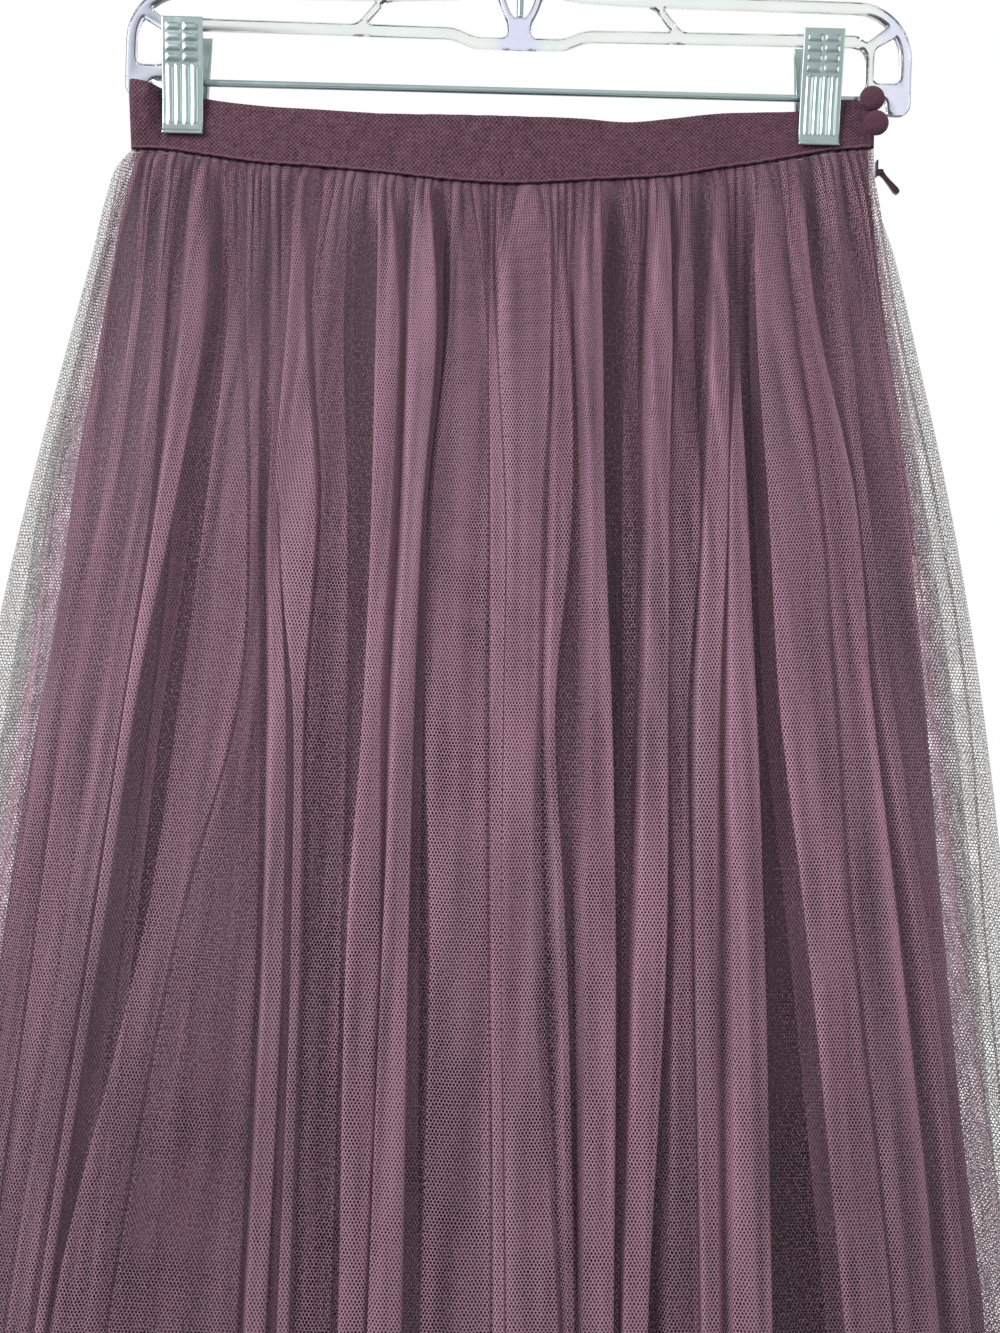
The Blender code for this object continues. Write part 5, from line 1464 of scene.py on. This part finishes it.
def softened(node, name, finish, width, body=SKIRT):
    """A copy of a CAD node with its edges rounded, in its place."""
    mesh = merged(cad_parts[node].data.copy())
    tool = bmesh.new()
    tool.from_mesh(mesh)
    bmesh.ops.dissolve_limit(tool, angle_limit=math.radians(2.0), verts=tool.verts, edges=tool.edges)
    tool.to_mesh(mesh)
    tool.free()
    thing = linked(name, mesh)
    bevel = thing.modifiers.new("edges", "BEVEL")
    bevel.width = width * MM
    bevel.segments = 3
    bevel.angle_limit = math.radians(35)
    mesh = evaluated_mesh(thing, name)
    mesh.shade_smooth()
    mesh.set_sharp_from_angle(angle=math.radians(40))
    piece = new_piece(name, mesh, finish, body)
    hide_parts(node)


# ---------------------------------------------------------------- finishes and pieces

CREPE = crepe_group()
HEXAGONS = hexagon_group()
SCUFFS = scuff_group()
REPEAT = repeat_tree()


def dress_skirt():
    band_crepe = crepe_finish("plum crepe", BAND_COLOUR, CREPE, BAND_YARN)
    # painted highlight: the cord's crepe is painted paler than the band's to stand for its lit ridge
    cord_painted_lit = paler(BAND_COLOUR, 1.5)
    piping_crepe = crepe_finish("plum crepe painted paler for the cord", cord_painted_lit, CREPE, BAND_YARN, 0.25)
    outer_net = net_finish("outer net", THREAD_COLOUR, 0.0, HEXAGONS)
    inner_net = net_finish("inner net", paler(THREAD_COLOUR, 0.5), 1.7, HEXAGONS)
    lining = lining_finish(CREPE)
    thread = thread_finish()
    for face, folds, levels, seed in (
        ("front", FRONT_FOLDS, FRONT_LEVELS, 3), ("back", BACK_FOLDS, BACK_LEVELS, 8)
    ):
        table = fold_table(folds, levels, face == "front")
        layers = (
            ("net_outer", "outer_net", table, 122, 1.0, 1.0, seed, outer_net, "tulle", 0.0, 1.05),
            ("net_inner", "inner_net", picked(table, slice(1, -1)), 70, 0.34, 0.5, seed + 20, inner_net,
             "tulle", 3.0, 0.75),
            ("lining", "lining_cloth", picked(table, slice(2, -2, 3)), 50, 0.2, 0.0, seed + 40, lining,
             "lining", 0.0, 0.5),
        )
        for layer, title, chosen, rows, height_share, gathers, start, finish, slot, shift, width in layers:
            name = f"{title}_{face}"
            piece = cloth_panel(
                name, layer, face, chosen, rows, height_share, gathers, start, finish, shift
            )
            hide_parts(f"{layer}_{face}")
        waistband(face, band_crepe)
        band_piping(face, piping_crepe)
        repeated_row(f"lining_hem_{face}", lining_hem_path(face), HEM_STITCH, thread)


def dress_closing():
    cover = crepe_finish("plum crepe on buttons", BUTTON_COLOUR, CREPE, 0.45)
    enamel, nylon = enamel_finish(SCUFFS), nylon_finish()
    for node in BUTTONS:
        button(node, cover)
    softened("zip_slider", "slider_body", enamel, 0.18)
    softened("zip_pull", "pull_tab", enamel, 0.3, "zip_tab")
    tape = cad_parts["zip_tape"].data
    tape.materials.clear()
    tape.materials.append(nylon)
    repeated_row("zip_coil", zip_line(0.15), ZIP_COIL, nylon)


def dress_hanger():
    chrome = chrome_finish(SCUFFS)
    hanger(plastic_finish(SCUFFS), chrome)
    for side in CLIP_X:
        clip(side, chrome)


dress_skirt()
dress_closing()
dress_hanger()


# ---------------------------------------------------------------- stage, light and camera


def floor():
    tool = bmesh.new()
    bmesh.ops.create_circle(tool, cap_ends=True, segments=96, radius=FLOOR_RADIUS * MM)
    mesh = bpy.data.meshes.new("floor")
    tool.to_mesh(mesh)
    tool.free()
    mesh.transform(Matrix.Translation((0.0, 0.0, (HEM_Z - FLOOR_GAP) * MM)))
    thing = linked("floor", mesh)
    pale, tree, shader = new_finish("pale floor")
    grain = tree.noise(object_place(tree), 8.0, 3.0)
    tone = tree.blend(grain, (0.86, 0.86, 0.86, 1.0), (0.9, 0.9, 0.9, 1.0))
    tree.give(shader, Base_Color=tone, Roughness=0.8)
    mesh.materials.append(pale)


def studio_world():
    """White to the eye; for light a soft room; for gloss a room with bright screens between dark gaps."""
    world = bpy.data.worlds.new("studio")
    world.use_nodes = True
    bpy.context.scene.world = world
    tree = Tree(world.node_tree)
    world.node_tree.nodes.clear()
    across, ahead, up = tree.split(tree.node("ShaderNodeTexCoord").outputs["Generated"])
    soft = tree.ramp(up, -0.5, 0.6, 0.12, 0.64)
    screens = tree.math("SINE", tree.math("MULTIPLY_ADD", across, 7.5, 1.1))
    screens = tree.ramp(screens, -0.45, 0.35, 0.10, 1.0)
    screens = tree.math("MULTIPLY", screens, tree.ramp(up, -0.75, 0.15, 0.30, 1.0))

    def either(share, one, other):
        rest = tree.math("MULTIPLY", tree.math("SUBTRACT", 1.0, share), other)
        return tree.math("ADD", tree.math("MULTIPLY", share, one), rest)

    sharp = either(tree.ramp(ahead, 0.82, 0.97), 0.97, screens)
    path = tree.node("ShaderNodeLightPath").outputs
    gloss = tree.math("MAXIMUM", path["Is Glossy Ray"], path["Is Transmission Ray"])
    light = tree.math("MAXIMUM", either(gloss, sharp, soft), path["Is Camera Ray"])
    room = tree.give(tree.node("ShaderNodeBackground"), Color=(1.0, 1.0, 1.0, 1.0), Strength=light)
    out = tree.node("ShaderNodeOutputWorld")
    tree.feed(out.inputs[0], room.outputs[0])


def area_light(name, place, target, size, power):
    """A rectangular light that faces its target, with places and size in metres."""
    light = bpy.data.lights.new(name, "AREA")
    light.shape = "RECTANGLE"
    light.size, light.size_y = size
    light.energy = power
    thing = linked(name, light)
    thing.location = place
    thing.rotation_euler = (Vector(target) - Vector(place)).to_track_quat("-Z", "Y").to_euler()


def camera():
    data = bpy.data.cameras.new("camera")
    data.sensor_width = SENSOR
    data.lens = SENSOR * EYE_DISTANCE / VIEW_HEIGHT
    thing = linked("camera", data)
    right = Vector((math.cos(EYE_ROLL), 0.0, math.sin(EYE_ROLL)))
    up = Vector((-math.sin(EYE_ROLL), 0.0, math.cos(EYE_ROLL)))
    back = Vector((0.0, -1.0, 0.0))
    turn = Matrix((right, up, back)).transposed().to_4x4()
    place = Vector((EYE_X, -EYE_DISTANCE, EYE_Z)) * MM
    thing.matrix_world = Matrix.Translation(place) @ turn
    bpy.context.scene.camera = thing


def studio():
    scene = bpy.context.scene
    scene.view_settings.view_transform = "Standard"
    scene.cycles.transparent_max_bounces = 26
    scene.cycles.max_bounces = 7
    scene.cycles.diffuse_bounces = 2
    floor()
    studio_world()
    area_light("key", (-1.8, -1.7, 0.55), (0.0, 0.0, -0.45), (1.0, 1.2), 56.0)
    area_light("fill", (1.8, -1.5, -0.2), (0.0, 0.0, -0.5), (1.5, 1.5), 10.0)
    camera()


studio()
